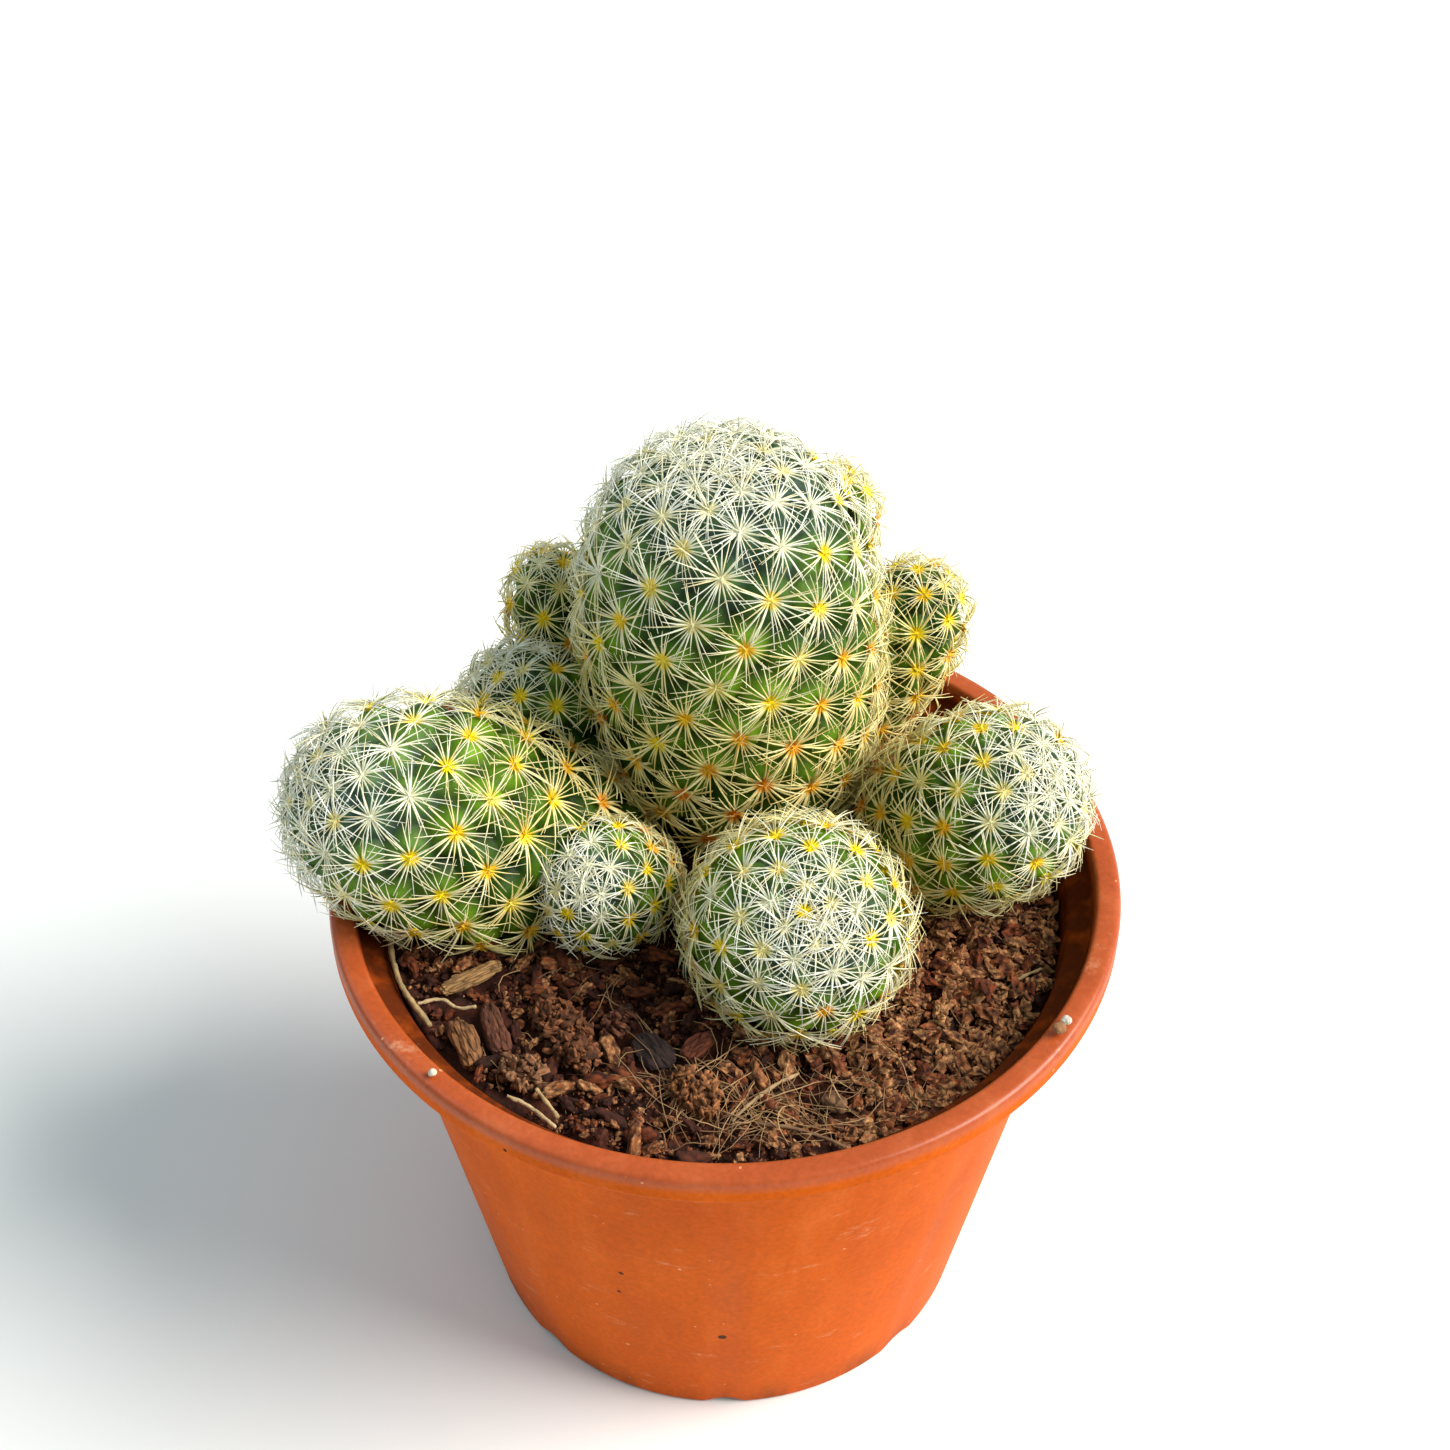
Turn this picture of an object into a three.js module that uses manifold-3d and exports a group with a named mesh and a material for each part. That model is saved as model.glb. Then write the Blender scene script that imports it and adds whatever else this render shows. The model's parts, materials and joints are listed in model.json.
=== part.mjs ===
// A clump of round cactus stems growing in an orange nursery pot.
//
// Millimetres, +Z up. The origin is the centre of the pot's foot, on the surface that the pot
// stands on. The front of the plant faces -Y and its largest side stem leans to -X.

import * as THREE from 'three';
import { ConvexHull } from 'three/addons/math/ConvexHull.js';
import { mergeVertices } from 'three/addons/utils/BufferGeometryUtils.js';
import Module from 'manifold-3d';

const wasm = await Module();
wasm.setup();

// ---------------------------------------------------------------- driving dimensions

const GAP = 0.3; // left between pieces that touch
const RIM_ROOM_DEPTH = 7; // how far below the ledge a leaning stem still gives way to the wall

const POT = {
  height: 73.5,
  rimRadius: 52.5,
  lipWidth: 3.3,
  bandHeight: 4.0,
  neckRadius: 47.2, // outside of the wall, just under the rim band
  footRadius: 35.2,
  wall: 1.2,
  ledgeDrop: 4.9, // from the top of the rim down to where the inner wall steps in
  ledgeRun: 1.2, // height over which the ledge turns into the inner wall
  floorTop: 3.2,
  footWidth: 2.4,
  padRadius: 7, // flat pad in the middle of the underside
  rimRound: 0.8,
  edgeRound: 0.5,
  footRound: 0.4,
  draft: 0.7, // how far a short upright face of the underside leans
  segments: 48,
};

const DRAINAGE = {
  count: 8,
  notchWidth: 5.4,
  notchHeight: 1.3,
  notchMargin: 1.5, // how far a notch runs past the foot ring on each side
  holeRadius: 2.9,
  holeCircle: 22,
};

const SOIL = {
  level: 67, // height of the surface at the middle of the pot
  slope: -0.034, // the surface falls towards +X
  ripple: 0.45,
  rippleScale: 0.16, // turns of the unevenness for each millimetre
  edgeDrop: 3, // from the surface down to the top of the plug's straight side
  heel: 1.6, // how far the plug's lower edge is rounded off
  rings: 9,
  segments: 44,
};

const SPINE_REACH = 1.7; // how far the spines stand out of the flesh of a stem

const ROOT_DEPTH = 3.5; // of the round lower end of a stem, below its base

const TUBERCLE = {
  depth: 0.24, // of a valley, as a share of the spacing between tubercles
  tipSpacing: 0.42, // at the growing tip, as a share of the spacing lower down
  tipReach: 1.05, // how far from the tip the spacing is full, as a share of the radius
};

// Sizes are over the spines. base and tip are the ends of a stem's axis. neck is the radius at
// the base as a share of the radius, widest is how far up the widest place is, and fullness is
// how blunt the tip is. spacing is the distance between tubercles on the flank.
const STEMS = [
  { name: 'main_stem', base: [3, 22.5, 58], tip: [-1.1, 24, 123.8],
    radius: 21.4, neck: 0.62, widest: 0.55, fullness: 2.6, spacing: 7.6 },
  { name: 'front_offset', base: [6.5, -0.2, 59.8], tip: [11.2, -24, 87.7],
    radius: 15.4, neck: 0.55, widest: 0.6, fullness: 2.3, spacing: 6.4 },
  { name: 'left_offset', base: [-15.5, 12.5, 59.4], tip: [-53.8, -5.7, 94.1],
    radius: 17.7, neck: 0.7, widest: 0.5, fullness: 2.3, spacing: 7.2 },
  { name: 'right_offset', base: [22, 15.6, 59.6], tip: [42.6, -0.9, 91],
    radius: 14.2, neck: 0.55, widest: 0.6, fullness: 2.3, spacing: 6.1 },
  { name: 'left_rear_offset', base: [-16, 22, 60], tip: [-31.5, 22, 91.1],
    radius: 12.5, neck: 0.6, widest: 0.6, fullness: 2.2, spacing: 6.2 },
  { name: 'front_left_pup', base: [-11, 8.5, 60], tip: [-19.3, -12.1, 82.4],
    radius: 10.3, neck: 0.5, widest: 0.6, fullness: 2.2, spacing: 4.9 },
  { name: 'back_right_offset', base: [11, 33, 60], tip: [31.1, 37.1, 95.2],
    radius: 10.1, neck: 0.6, widest: 0.6, fullness: 2.2, spacing: 5.7 },
  { name: 'back_left_pup', base: [-14, 29, 62], tip: [-26, 35.6, 99.9],
    radius: 9.7, neck: 0.6, widest: 0.6, fullness: 2.2, spacing: 5.4 },
  { name: 'shoulder_pup', base: [7.5, 28.5, 88], tip: [16.3, 34.4, 114.8],
    radius: 8.7, neck: 0.6, widest: 0.6, fullness: 2.2, spacing: 5.2 },
];

// Steps along an outline and sides round it, for the shapes that only cut.
const ROOM_DETAIL = { steps: 12, sides: 28 };
const SOCKET_DETAIL = { steps: 8, sides: 20 };

const LUMP = {
  roughness: 0.16,
  boxiness: 0.8, // 1 is round, and less is boxier
  rise: 0.1, // of the middle above the surface, as a share of the height
};

const GRAIN = { roughness: 0.14, flatness: 0.8 };

// Loose bark and clods of coir, half sunk in the surface. size is length, width and height;
// turn is the direction of the length, in degrees from +X.
const CHIPS = [
  { name: 'woody_chip', at: [-33, -15.8], size: [9.3, 2.6, 2.2], turn: 32, color: 0x8a6038 },
  { name: 'bark_chip_1', at: [-32.6, -26.9], size: [9, 3.4, 3.2], turn: -67, color: 0x8f5f3c },
  { name: 'bark_chip_2', at: [-29.2, -24.8], size: [9.6, 3.2, 3], turn: -68, color: 0x6e3f2b },
  { name: 'coir_clod_1', at: [-25.6, -31.6], size: [5.4, 4.6, 3.8], turn: -20, color: 0x84583c },
  { name: 'coir_clod_2', at: [-20.2, -25], size: [13.5, 5.6, 4.6], turn: -65, color: 0x7a4a30 },
  { name: 'coir_clod_3', at: [-3.8, -34], size: [7.6, 5.2, 4.2], turn: -40, color: 0x9a6a42 },
  { name: 'coir_clod_4', at: [-13.8, -22.6], size: [6, 3.2, 3], turn: 50, color: 0x74442e },
  { name: 'bark_flake', at: [-9, -27.2], size: [7, 4.6, 1.6], turn: -50, color: 0x3d2a26 },
  { name: 'red_bark_chip', at: [-3.4, -26.6], size: [5.6, 2.8, 2.6], turn: 44, color: 0x7d4027 },
  { name: 'smooth_chip', at: [13.6, -35], size: [3.6, 2.6, 2.2], turn: -40, color: 0x8c6443 },
  { name: 'pale_chip', at: [27.8, -20.6], size: [3.8, 1.8, 1.8], turn: -80, color: 0xb98a5e },
];

// Dry roots and straws that lie on the surface: the points are places seen from above.
const STRANDS = [
  { name: 'long_root', radius: 0.45, color: 0xa58a5c,
    points: [[-44, -9.8], [-43.3, -13.2], [-41.6, -18], [-37.4, -24.2]] },
  { name: 'rootlet', radius: 0.3, color: 0xc7ac80,
    points: [[-39.4, -20.6], [-36.4, -19.8], [-34, -21.2], [-31.8, -20.8]] },
  { name: 'straw_1', radius: 0.34, color: 0xc2a273,
    points: [[-23.4, -34.2], [-22, -36.2], [-20.4, -38.6]] },
  { name: 'straw_2', radius: 0.3, color: 0xcdb083,
    points: [[-27, -35.2], [-24.2, -36.8], [-20.6, -40.2]] },
  { name: 'straw_3', radius: 0.28, color: 0xb0906a,
    points: [[0.8, -38.4], [3.2, -35.4], [6.4, -32.4], [9.4, -30.4]] },
  { name: 'curled_fibre', radius: 0.28, color: 0x8d6a4c,
    points: [[3.6, -38.6], [8, -39.4], [12.6, -41], [14.8, -42.2]] },
  { name: 'side_straw', radius: 0.28, color: 0xb29468,
    points: [[36.2, -16.4], [38.8, -13.6], [41.8, -11.8]] },
];

// Grains of grit lying on top of the rim, by direction in degrees from +X.
const GRITS = [
  { name: 'rim_grit_pale', direction: -33.6, radius: 0.75, color: 0xe6dccd },
  { name: 'rim_grit_tan', direction: -35.6, radius: 0.95, color: 0xb08a63 },
  { name: 'rim_grit_left', direction: -134.4, radius: 0.6, color: 0xe0d4c0 },
];

const FINISH = {
  pot: { color: 0xdb5f22, roughness: 0.42, metalness: 0 },
  soil: { color: 0x4a281b, roughness: 0.95, metalness: 0 },
  stem: { color: 0x5f8237, roughness: 0.62, metalness: 0 },
  loose: { roughness: 0.9, metalness: 0 },
};

// ---------------------------------------------------------------- shared helpers

const Z_AXIS = new THREE.Vector3(0, 0, 1);
const RIGHT_ANGLE = Math.PI / 2;
const GOLDEN_ANGLE = Math.PI * (3 - Math.sqrt(5));

const radians = THREE.MathUtils.degToRad;
const lerp = THREE.MathUtils.lerp;

// A closed geometry with shared corners, as a solid for joining and cutting.
function toSolid(geometry) {
  const bare = geometry.clone();
  bare.deleteAttribute('normal');
  bare.deleteAttribute('uv');
  const merged = mergeVertices(bare, 1e-4);
  return new wasm.Manifold(new wasm.Mesh({
    numProp: 3,
    vertProperties: new Float32Array(merged.attributes.position.array),
    triVerts: new Uint32Array(merged.index.array),
  }));
}

function toGeometry(solid) {
  const mesh = solid.getMesh();
  const geometry = new THREE.BufferGeometry();
  geometry.setAttribute('position', new THREE.BufferAttribute(mesh.vertProperties, 3));
  geometry.setIndex(new THREE.BufferAttribute(mesh.triVerts, 1));
  geometry.computeVertexNormals();
  return geometry;
}

function cut(geometry, cutters) {
  let solid = toSolid(geometry);
  for (const cutter of cutters) {
    solid = solid.subtract(toSolid(cutter));
  }
  return toGeometry(solid);
}

// A solid of revolution about +Z from [radius, height] pairs that start and end on the axis.
function turned(profile, segments) {
  const points = profile.map(([radius, height]) => new THREE.Vector2(radius, height));
  return new THREE.LatheGeometry(points, segments).rotateX(RIGHT_ANGLE);
}

function named(name, geometry, finish) {
  const mesh = new THREE.Mesh(geometry, new THREE.MeshStandardMaterial(finish));
  mesh.name = name;
  return mesh;
}

// A slow, repeatable unevenness between about -1 and 1.
function ripple(x, y, z, seed) {
  const a = Math.sin(1.7 * x + 2.3 * seed) * Math.cos(1.3 * y - seed);
  const b = Math.sin(2.1 * z + 0.9 * x + 4.1 * seed) * Math.cos(1.9 * z - 1.1 * y);
  return 0.6 * a + 0.4 * b;
}

// ---------------------------------------------------------------- pot

const neckHeight = POT.height - POT.bandHeight;
const taper = (POT.neckRadius - POT.footRadius) / neckHeight;
const ledgeHeight = POT.height - POT.ledgeDrop;

// Radius of the pot's inner wall at a height below the ledge.
function innerRadius(height) {
  return POT.footRadius + taper * height - POT.wall;
}

function potShell() {
  const { height, rimRadius, lipWidth, footRadius, footWidth, neckRadius, padRadius } = POT;
  const { floorTop, wall, rimRound, edgeRound, footRound, draft, ledgeRun } = POT;
  const lipInner = rimRadius - lipWidth;
  const recess = floorTop - wall;
  const profile = [
    [0, 0],
    [padRadius, 0],
    [padRadius + draft, recess],
    [footRadius - footWidth - draft, recess],
    [footRadius - footWidth, 0],
    [footRadius - footRound, 0],
    [footRadius, 2 * footRound],
    [neckRadius - 0.1, neckHeight - 1.6],
    [neckRadius + 0.5, neckHeight - 0.4],
    [neckRadius + 1.3, neckHeight],
    [rimRadius - edgeRound, neckHeight],
    [rimRadius, neckHeight + edgeRound],
    [rimRadius, height - rimRound],
    [rimRadius - rimRound, height],
    [lipInner + edgeRound, height],
    [lipInner, height - edgeRound],
    [lipInner - 0.3, ledgeHeight + 1.8],
    [lipInner - 1, ledgeHeight + 0.8],
    [innerRadius(ledgeHeight) + edgeRound, ledgeHeight],
    [innerRadius(ledgeHeight - ledgeRun), ledgeHeight - ledgeRun],
    [innerRadius(floorTop + edgeRound), floorTop + edgeRound],
    [innerRadius(floorTop) - edgeRound, floorTop],
    [0, floorTop],
  ];
  return turned(profile, POT.segments);
}

// A low arch through the foot ring that lets water run out.
function drainNotch(direction) {
  const { notchWidth, notchHeight, notchMargin } = DRAINAGE;
  const arch = new THREE.Shape();
  arch.moveTo(-notchWidth / 2, -1);
  arch.lineTo(notchWidth / 2, -1);
  arch.lineTo(notchWidth / 2, 0);
  arch.bezierCurveTo(notchWidth / 4, notchHeight, -notchWidth / 4, notchHeight, -notchWidth / 2, 0);
  const depth = POT.footWidth + 2 * notchMargin;
  const solid = new THREE.ExtrudeGeometry(arch, { depth, bevelEnabled: false, curveSegments: 5 });
  solid.rotateX(RIGHT_ANGLE);
  solid.rotateZ(RIGHT_ANGLE);
  solid.translate(POT.footRadius - POT.footWidth - notchMargin, 0, 0);
  return solid.rotateZ(direction);
}

function drainHole(direction) {
  const { holeRadius, holeCircle } = DRAINAGE;
  const drill = new THREE.CylinderGeometry(holeRadius, holeRadius, 2 * POT.floorTop, 14);
  drill.rotateX(RIGHT_ANGLE);
  drill.translate(holeCircle, 0, POT.floorTop);
  return drill.rotateZ(direction);
}

function pot() {
  const cutters = [];
  for (let i = 0; i < DRAINAGE.count; i += 1) {
    const direction = (i / DRAINAGE.count) * 2 * Math.PI - RIGHT_ANGLE;
    cutters.push(drainNotch(direction));
    cutters.push(drainHole(direction));
  }
  return named('pot', cut(potShell(), cutters), FINISH.pot);
}

// ---------------------------------------------------------------- stems

// A stem without its spines, with the length of its axis.
function toFlesh(stem) {
  const span = new THREE.Vector3(...stem.base).distanceTo(new THREE.Vector3(...stem.tip));
  return { ...stem, radius: stem.radius - SPINE_REACH, length: span - SPINE_REACH };
}

// Radius of the flesh at a share t of the way from its base to its tip.
function stemRadius(stem, t) {
  const { radius, neck, widest, fullness } = stem;
  if (t < widest) {
    return radius * (1 - (1 - neck) * ((widest - t) / widest) ** 2);
  }
  const rise = (t - widest) / (1 - widest);
  return radius * Math.max(0, 1 - rise ** fullness) ** (1 / fullness);
}

// Half the outline of a stem as [radius, height], from its round lower end to its tip.
function stemOutline(stem, steps) {
  const neckRadius = stem.neck * stem.radius;
  const rootSteps = Math.ceil(steps / 4);
  const outline = [];
  for (let i = 0; i < rootSteps; i += 1) {
    const turn = (i / rootSteps) * RIGHT_ANGLE;
    outline.push([neckRadius * Math.sin(turn), -ROOT_DEPTH * Math.cos(turn)]);
  }
  for (let i = 0; i < steps; i += 1) {
    const t = Math.sin((i / steps) * RIGHT_ANGLE);
    outline.push([stemRadius(stem, t), t * stem.length]);
  }
  outline.push([0, stem.length]);
  return outline;
}

// The same outline moved outwards all along by the given amount.
function grownOutline(outline, amount) {
  const last = outline.length - 1;
  return outline.map(([radius, height], i) => {
    if (i === 0 || i === last) {
      return [0, height + (i === 0 ? -amount : amount)];
    }
    const along = outline[i + 1][0] - outline[i - 1][0];
    const up = outline[i + 1][1] - outline[i - 1][1];
    const scale = amount / Math.hypot(along, up);
    return [radius + up * scale, height - along * scale];
  });
}

// Turns a shape made along +Z onto the stem's own axis.
function ontoAxis(geometry, stem) {
  const base = new THREE.Vector3(...stem.base);
  const direction = new THREE.Vector3(...stem.tip).sub(base).normalize();
  geometry.applyQuaternion(new THREE.Quaternion().setFromUnitVectors(Z_AXIS, direction));
  return geometry.translate(base.x, base.y, base.z);
}

// The smooth body of a stem, grown all round: the room that its neighbours leave for it.
function stemRoom(stem) {
  const { steps, sides } = ROOM_DETAIL;
  return ontoAxis(turned(grownOutline(stemOutline(stem, steps), GAP), sides), stem);
}

// A coarser and looser room, for the socket that the soil leaves round a stem.
function soilSocket(stem) {
  const { steps, sides } = SOCKET_DETAIL;
  return ontoAxis(turned(grownOutline(stemOutline(stem, steps), 2 * GAP), sides), stem);
}

// The rim and its ledge, grown all round: a stem that leans on the rim gives way to it.
function rimRoom() {
  const inner = innerRadius(ledgeHeight) - GAP;
  const outer = POT.rimRadius + GAP;
  const lipInner = POT.rimRadius - POT.lipWidth - GAP;
  const low = ledgeHeight - RIM_ROOM_DEPTH;
  return turned([
    [innerRadius(low) - GAP, low],
    [outer, low],
    [outer, POT.height + GAP],
    [lipInner, POT.height + GAP],
    [lipInner - 0.3, ledgeHeight + 1.8 + GAP],
    [lipInner - 1, ledgeHeight + 0.8 + 2 * GAP],
    [inner, ledgeHeight + GAP],
    [innerRadius(low) - GAP, low],
  ], POT.segments);
}

// Walks down the outline from the tip and notes, at each step, how many tubercles there is
// room for above it, and the latitude that the step has when the outline is wrapped on a ball
// without changing its angles.
function tubercleRows(stem) {
  const outline = stemOutline(stem, 400).reverse();
  const tipReach = TUBERCLE.tipReach * stem.radius;
  const cell = Math.sqrt(3) / 2;
  const rows = [];
  let travelled = 0;
  let tubercles = 0;
  let latitude = 0;
  for (let i = 1; i < outline.length; i += 1) {
    const [radiusA, heightA] = outline[i - 1];
    const [radiusB, heightB] = outline[i];
    const radius = (radiusA + radiusB) / 2;
    const step = Math.hypot(radiusB - radiusA, heightB - heightA);
    travelled += step;
    const growth = Math.min(1, travelled / tipReach);
    const spacing = stem.spacing * lerp(TUBERCLE.tipSpacing, 1, growth);
    tubercles += (2 * Math.PI * radius * step) / (cell * spacing ** 2);
    latitude += step / radius;
    rows.push({ radius, height: (heightA + heightB) / 2, tubercles, latitude, spacing });
  }
  return rows;
}

// The tips of the tubercles, each turned by the golden angle from the one before, with the
// matching directions on a ball.
function tubercleTips(stem) {
  const rows = tubercleRows(stem);
  const count = Math.floor(rows.at(-1).tubercles);
  const middle = rows.find((row) => row.radius > 0.98 * stem.radius).latitude;
  const tips = [];
  let row = 0;
  for (let i = 0; i < count; i += 1) {
    while (rows[row].tubercles < i + 0.5) {
      row += 1;
    }
    const { radius, height, latitude, spacing } = rows[row];
    const around = i * GOLDEN_ANGLE;
    const cosine = Math.cos(around);
    const sine = Math.sin(around);
    const tall = Math.tanh(middle - latitude);
    const wide = 1 / Math.cosh(middle - latitude);
    tips.push({
      spacing,
      place: new THREE.Vector3(radius * cosine, radius * sine, height),
      onBall: new THREE.Vector3(wide * cosine, wide * sine, tall),
    });
  }
  return tips;
}

// The stem's body: a peak at each tubercle and a sunken point between each three of them.
function tubercledStem(stem) {
  const tips = tubercleTips(stem);
  const index = new Map(tips.map((tip) => [tip.onBall, tip]));
  const hull = new ConvexHull().setFromPoints(tips.map((tip) => tip.onBall));
  const corners = [];
  for (const face of hull.faces) {
    const ring = [face.getEdge(0), face.getEdge(1), face.getEdge(2)];
    const three = ring.map((edge) => index.get(edge.head().point));
    const [a, b, c] = three.map((tip) => tip.place);
    const out = new THREE.Triangle(a, b, c).getNormal(new THREE.Vector3());
    const spacing = Math.min(...three.map((tip) => tip.spacing));
    const valley = new THREE.Vector3().add(a).add(b).add(c).divideScalar(3);
    valley.addScaledVector(out, -TUBERCLE.depth * spacing);
    corners.push(a, b, valley, b, c, valley, c, a, valley);
  }
  return ontoAxis(new THREE.BufferGeometry().setFromPoints(corners), stem);
}

// Each stem gives way to the rim, and to the stems before it where they crowd together.
function stemMeshes() {
  const stems = STEMS.map(toFlesh);
  const rooms = [rimRoom(), ...stems.map(stemRoom)];
  return stems.map((stem, i) => (
    named(stem.name, cut(tubercledStem(stem), rooms.slice(0, i + 1)), FINISH.stem)
  ));
}

// ---------------------------------------------------------------- loose pieces

function soilHeight(x, y) {
  const { rippleScale } = SOIL;
  const dip = SOIL.ripple * ripple(rippleScale * x, rippleScale * y, 0, 1);
  return SOIL.level + SOIL.slope * x + dip;
}

// A rough rounded lump, boxy rather than round, grown by the given amount.
function chipSolid(chip, seed, grow) {
  const lump = mergeVertices(bareIcosahedron());
  const half = chip.size.map((side) => side / 2);
  const place = lump.attributes.position;
  const point = new THREE.Vector3();
  for (let i = 0; i < place.count; i += 1) {
    point.fromBufferAttribute(place, i);
    const rough = 1 + LUMP.roughness * ripple(2 * point.x, 2 * point.y, 2 * point.z, seed);
    const [x, y, z] = point.toArray().map((side, k) => (
      Math.sign(side) * Math.abs(side) ** LUMP.boxiness * (half[k] * rough + grow)
    ));
    place.setXYZ(i, x, y, z);
  }
  lump.rotateZ(radians(chip.turn));
  const [x, y] = chip.at;
  return lump.translate(x, y, soilHeight(x, y) + LUMP.rise * chip.size[2]);
}

function bareIcosahedron() {
  const ball = new THREE.IcosahedronGeometry(1, 1);
  ball.deleteAttribute('normal');
  ball.deleteAttribute('uv');
  return ball;
}

function chipMesh(chip, seed) {
  return named(chip.name, chipSolid(chip, seed, 0), { ...FINISH.loose, color: chip.color });
}

// A thin round strand that follows the surface just above it.
function strandMesh(strand) {
  const points = strand.points.map(([x, y]) => (
    new THREE.Vector3(x, y, soilHeight(x, y) + strand.radius + GAP)
  ));
  const section = new THREE.Shape().absarc(0, 0, strand.radius, 0, 2 * Math.PI);
  const solid = new THREE.ExtrudeGeometry(section, {
    extrudePath: new THREE.CatmullRomCurve3(points),
    steps: 3 * points.length,
    curveSegments: 4,
  });
  return named(strand.name, solid, { ...FINISH.loose, color: strand.color });
}

function gritMesh(grit, seed) {
  const lump = mergeVertices(bareIcosahedron());
  const place = lump.attributes.position;
  const point = new THREE.Vector3();
  for (let i = 0; i < place.count; i += 1) {
    point.fromBufferAttribute(place, i);
    const rough = 1 + GRAIN.roughness * ripple(3 * point.x, 3 * point.y, 3 * point.z, seed);
    point.multiplyScalar(grit.radius * rough);
    place.setXYZ(i, point.x, point.y, GRAIN.flatness * point.z);
  }
  const out = POT.rimRadius - POT.lipWidth / 2;
  lump.translate(out, 0, POT.height + grit.radius + GAP / 2);
  lump.rotateZ(radians(grit.direction));
  return named(grit.name, lump, { ...FINISH.loose, color: grit.color });
}

// ---------------------------------------------------------------- potting soil

// Fills the pot, with a socket for each stem and a hollow under each loose chip.
function pottingSoil() {
  const bottom = POT.floorTop + GAP;
  const edge = SOIL.level - SOIL.edgeDrop;
  const side = (height) => [innerRadius(height) - GAP, height];
  const profile = [
    [0, bottom],
    [innerRadius(bottom) - SOIL.heel, bottom],
    side(bottom + SOIL.heel),
    side(edge),
  ];
  const topRadius = innerRadius(edge) - GAP;
  for (let ring = SOIL.rings; ring >= 0; ring -= 1) {
    profile.push([(topRadius * ring) / SOIL.rings, SOIL.level]);
  }
  const plug = turned(profile, SOIL.segments);
  const place = plug.attributes.position;
  for (let i = 0; i < place.count; i += 1) {
    if (place.getZ(i) > edge + GAP) {
      place.setZ(i, soilHeight(place.getX(i), place.getY(i)));
    }
  }
  const sockets = STEMS.map(toFlesh).map(soilSocket);
  const hollows = CHIPS.map((chip, seed) => chipSolid(chip, seed, GAP));
  return named('potting_soil', cut(plug, [...sockets, ...hollows]), FINISH.soil);
}

// ---------------------------------------------------------------- assembly

const cactus = new THREE.Group();
cactus.add(pot());
cactus.add(pottingSoil());
cactus.add(...stemMeshes());
cactus.add(...CHIPS.map(chipMesh));
cactus.add(...STRANDS.map(strandMesh));
cactus.add(...GRITS.map(gritMesh));

export default cactus;
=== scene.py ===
import json
import math
import random

import bmesh
import bpy
from mathutils import Matrix, Vector, noise
from mathutils.bvhtree import BVHTree

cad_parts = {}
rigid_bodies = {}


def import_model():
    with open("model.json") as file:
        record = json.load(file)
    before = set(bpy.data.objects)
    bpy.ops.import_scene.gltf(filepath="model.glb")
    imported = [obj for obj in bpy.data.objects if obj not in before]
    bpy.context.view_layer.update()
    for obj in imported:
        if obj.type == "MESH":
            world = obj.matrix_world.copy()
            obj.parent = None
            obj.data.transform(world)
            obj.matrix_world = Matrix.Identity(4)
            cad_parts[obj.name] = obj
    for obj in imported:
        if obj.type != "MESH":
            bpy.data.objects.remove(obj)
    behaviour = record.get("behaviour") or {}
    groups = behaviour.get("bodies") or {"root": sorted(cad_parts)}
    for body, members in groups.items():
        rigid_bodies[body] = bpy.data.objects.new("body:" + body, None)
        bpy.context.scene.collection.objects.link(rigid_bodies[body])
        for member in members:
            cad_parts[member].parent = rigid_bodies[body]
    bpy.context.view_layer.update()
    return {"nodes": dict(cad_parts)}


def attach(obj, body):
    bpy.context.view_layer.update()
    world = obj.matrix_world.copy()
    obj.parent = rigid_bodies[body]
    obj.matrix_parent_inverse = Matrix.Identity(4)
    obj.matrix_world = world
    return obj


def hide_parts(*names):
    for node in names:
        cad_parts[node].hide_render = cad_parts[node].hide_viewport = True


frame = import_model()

mm = 0.001
zAxis = Vector((0, 0, 1))
goldenAngle = math.pi * (3 - math.sqrt(5))
rampKeys = ("Value", "From Min", "From Max", "To Min", "To Max")
noiseKeys = ("Vector", "Scale", "Detail", "Roughness")


# ---- small helpers

def hexColour(code):  # sRGB hex, as given, to linear
    parts = [int(code[i:i + 2], 16) / 255 for i in (1, 3, 5)]
    return tuple(c / 12.92 if c <= 0.04045 else ((c + 0.055) / 1.055) ** 2.4 for c in parts) + (1,)


def addNode(tree, kind, inputs=None, out=None, **settings):  # gives the first output in use, or out
    node = tree.nodes.new(kind)
    for name, value in settings.items():
        setattr(node, name, value)
    for key, value in (inputs or {}).items():
        for source in value if isinstance(value, list) else [value]:
            if isinstance(source, bpy.types.NodeSocket):
                tree.links.new(source, node.inputs[key])
            else:
                node.inputs[key].default_value = source
    return node.outputs[out] if out else next(socket for socket in node.outputs if socket.enabled)


def waves(size):  # a pattern's scale, from the size of one wave or cell in mm
    return 1 / (size * mm)


def addNodes(tree, kind, keys, rows):  # one node for each row of a table whose columns are keys
    return {name: addNode(tree, kind, dict(zip(keys, row))) for name, row in rows.items()}


def paint(tree, shader, colour, coats=(), shade=None, relief=None):
    # Coats are (share, colour), laid one over the other. Shade is how light the result is, and
    # relief is the pattern, strength and height of the bumps.
    for share, over in coats:
        colour, over = (hexColour(c) if isinstance(c, str) else c for c in (colour, over))
        colour = addNode(tree, "ShaderNodeMix", {0: share, 6: colour, 7: over}, data_type="RGBA")
    if shade:
        colour = addNode(tree, "ShaderNodeVectorMath", {0: colour, "Scale": shade}, operation="SCALE")
    tree.links.new(colour, shader.inputs["Base Color"])
    if relief:
        bump = addNode(tree, "ShaderNodeBump", dict(zip(("Height", "Strength", "Distance"), relief)))
        tree.links.new(bump, shader.inputs["Normal"])


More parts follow.
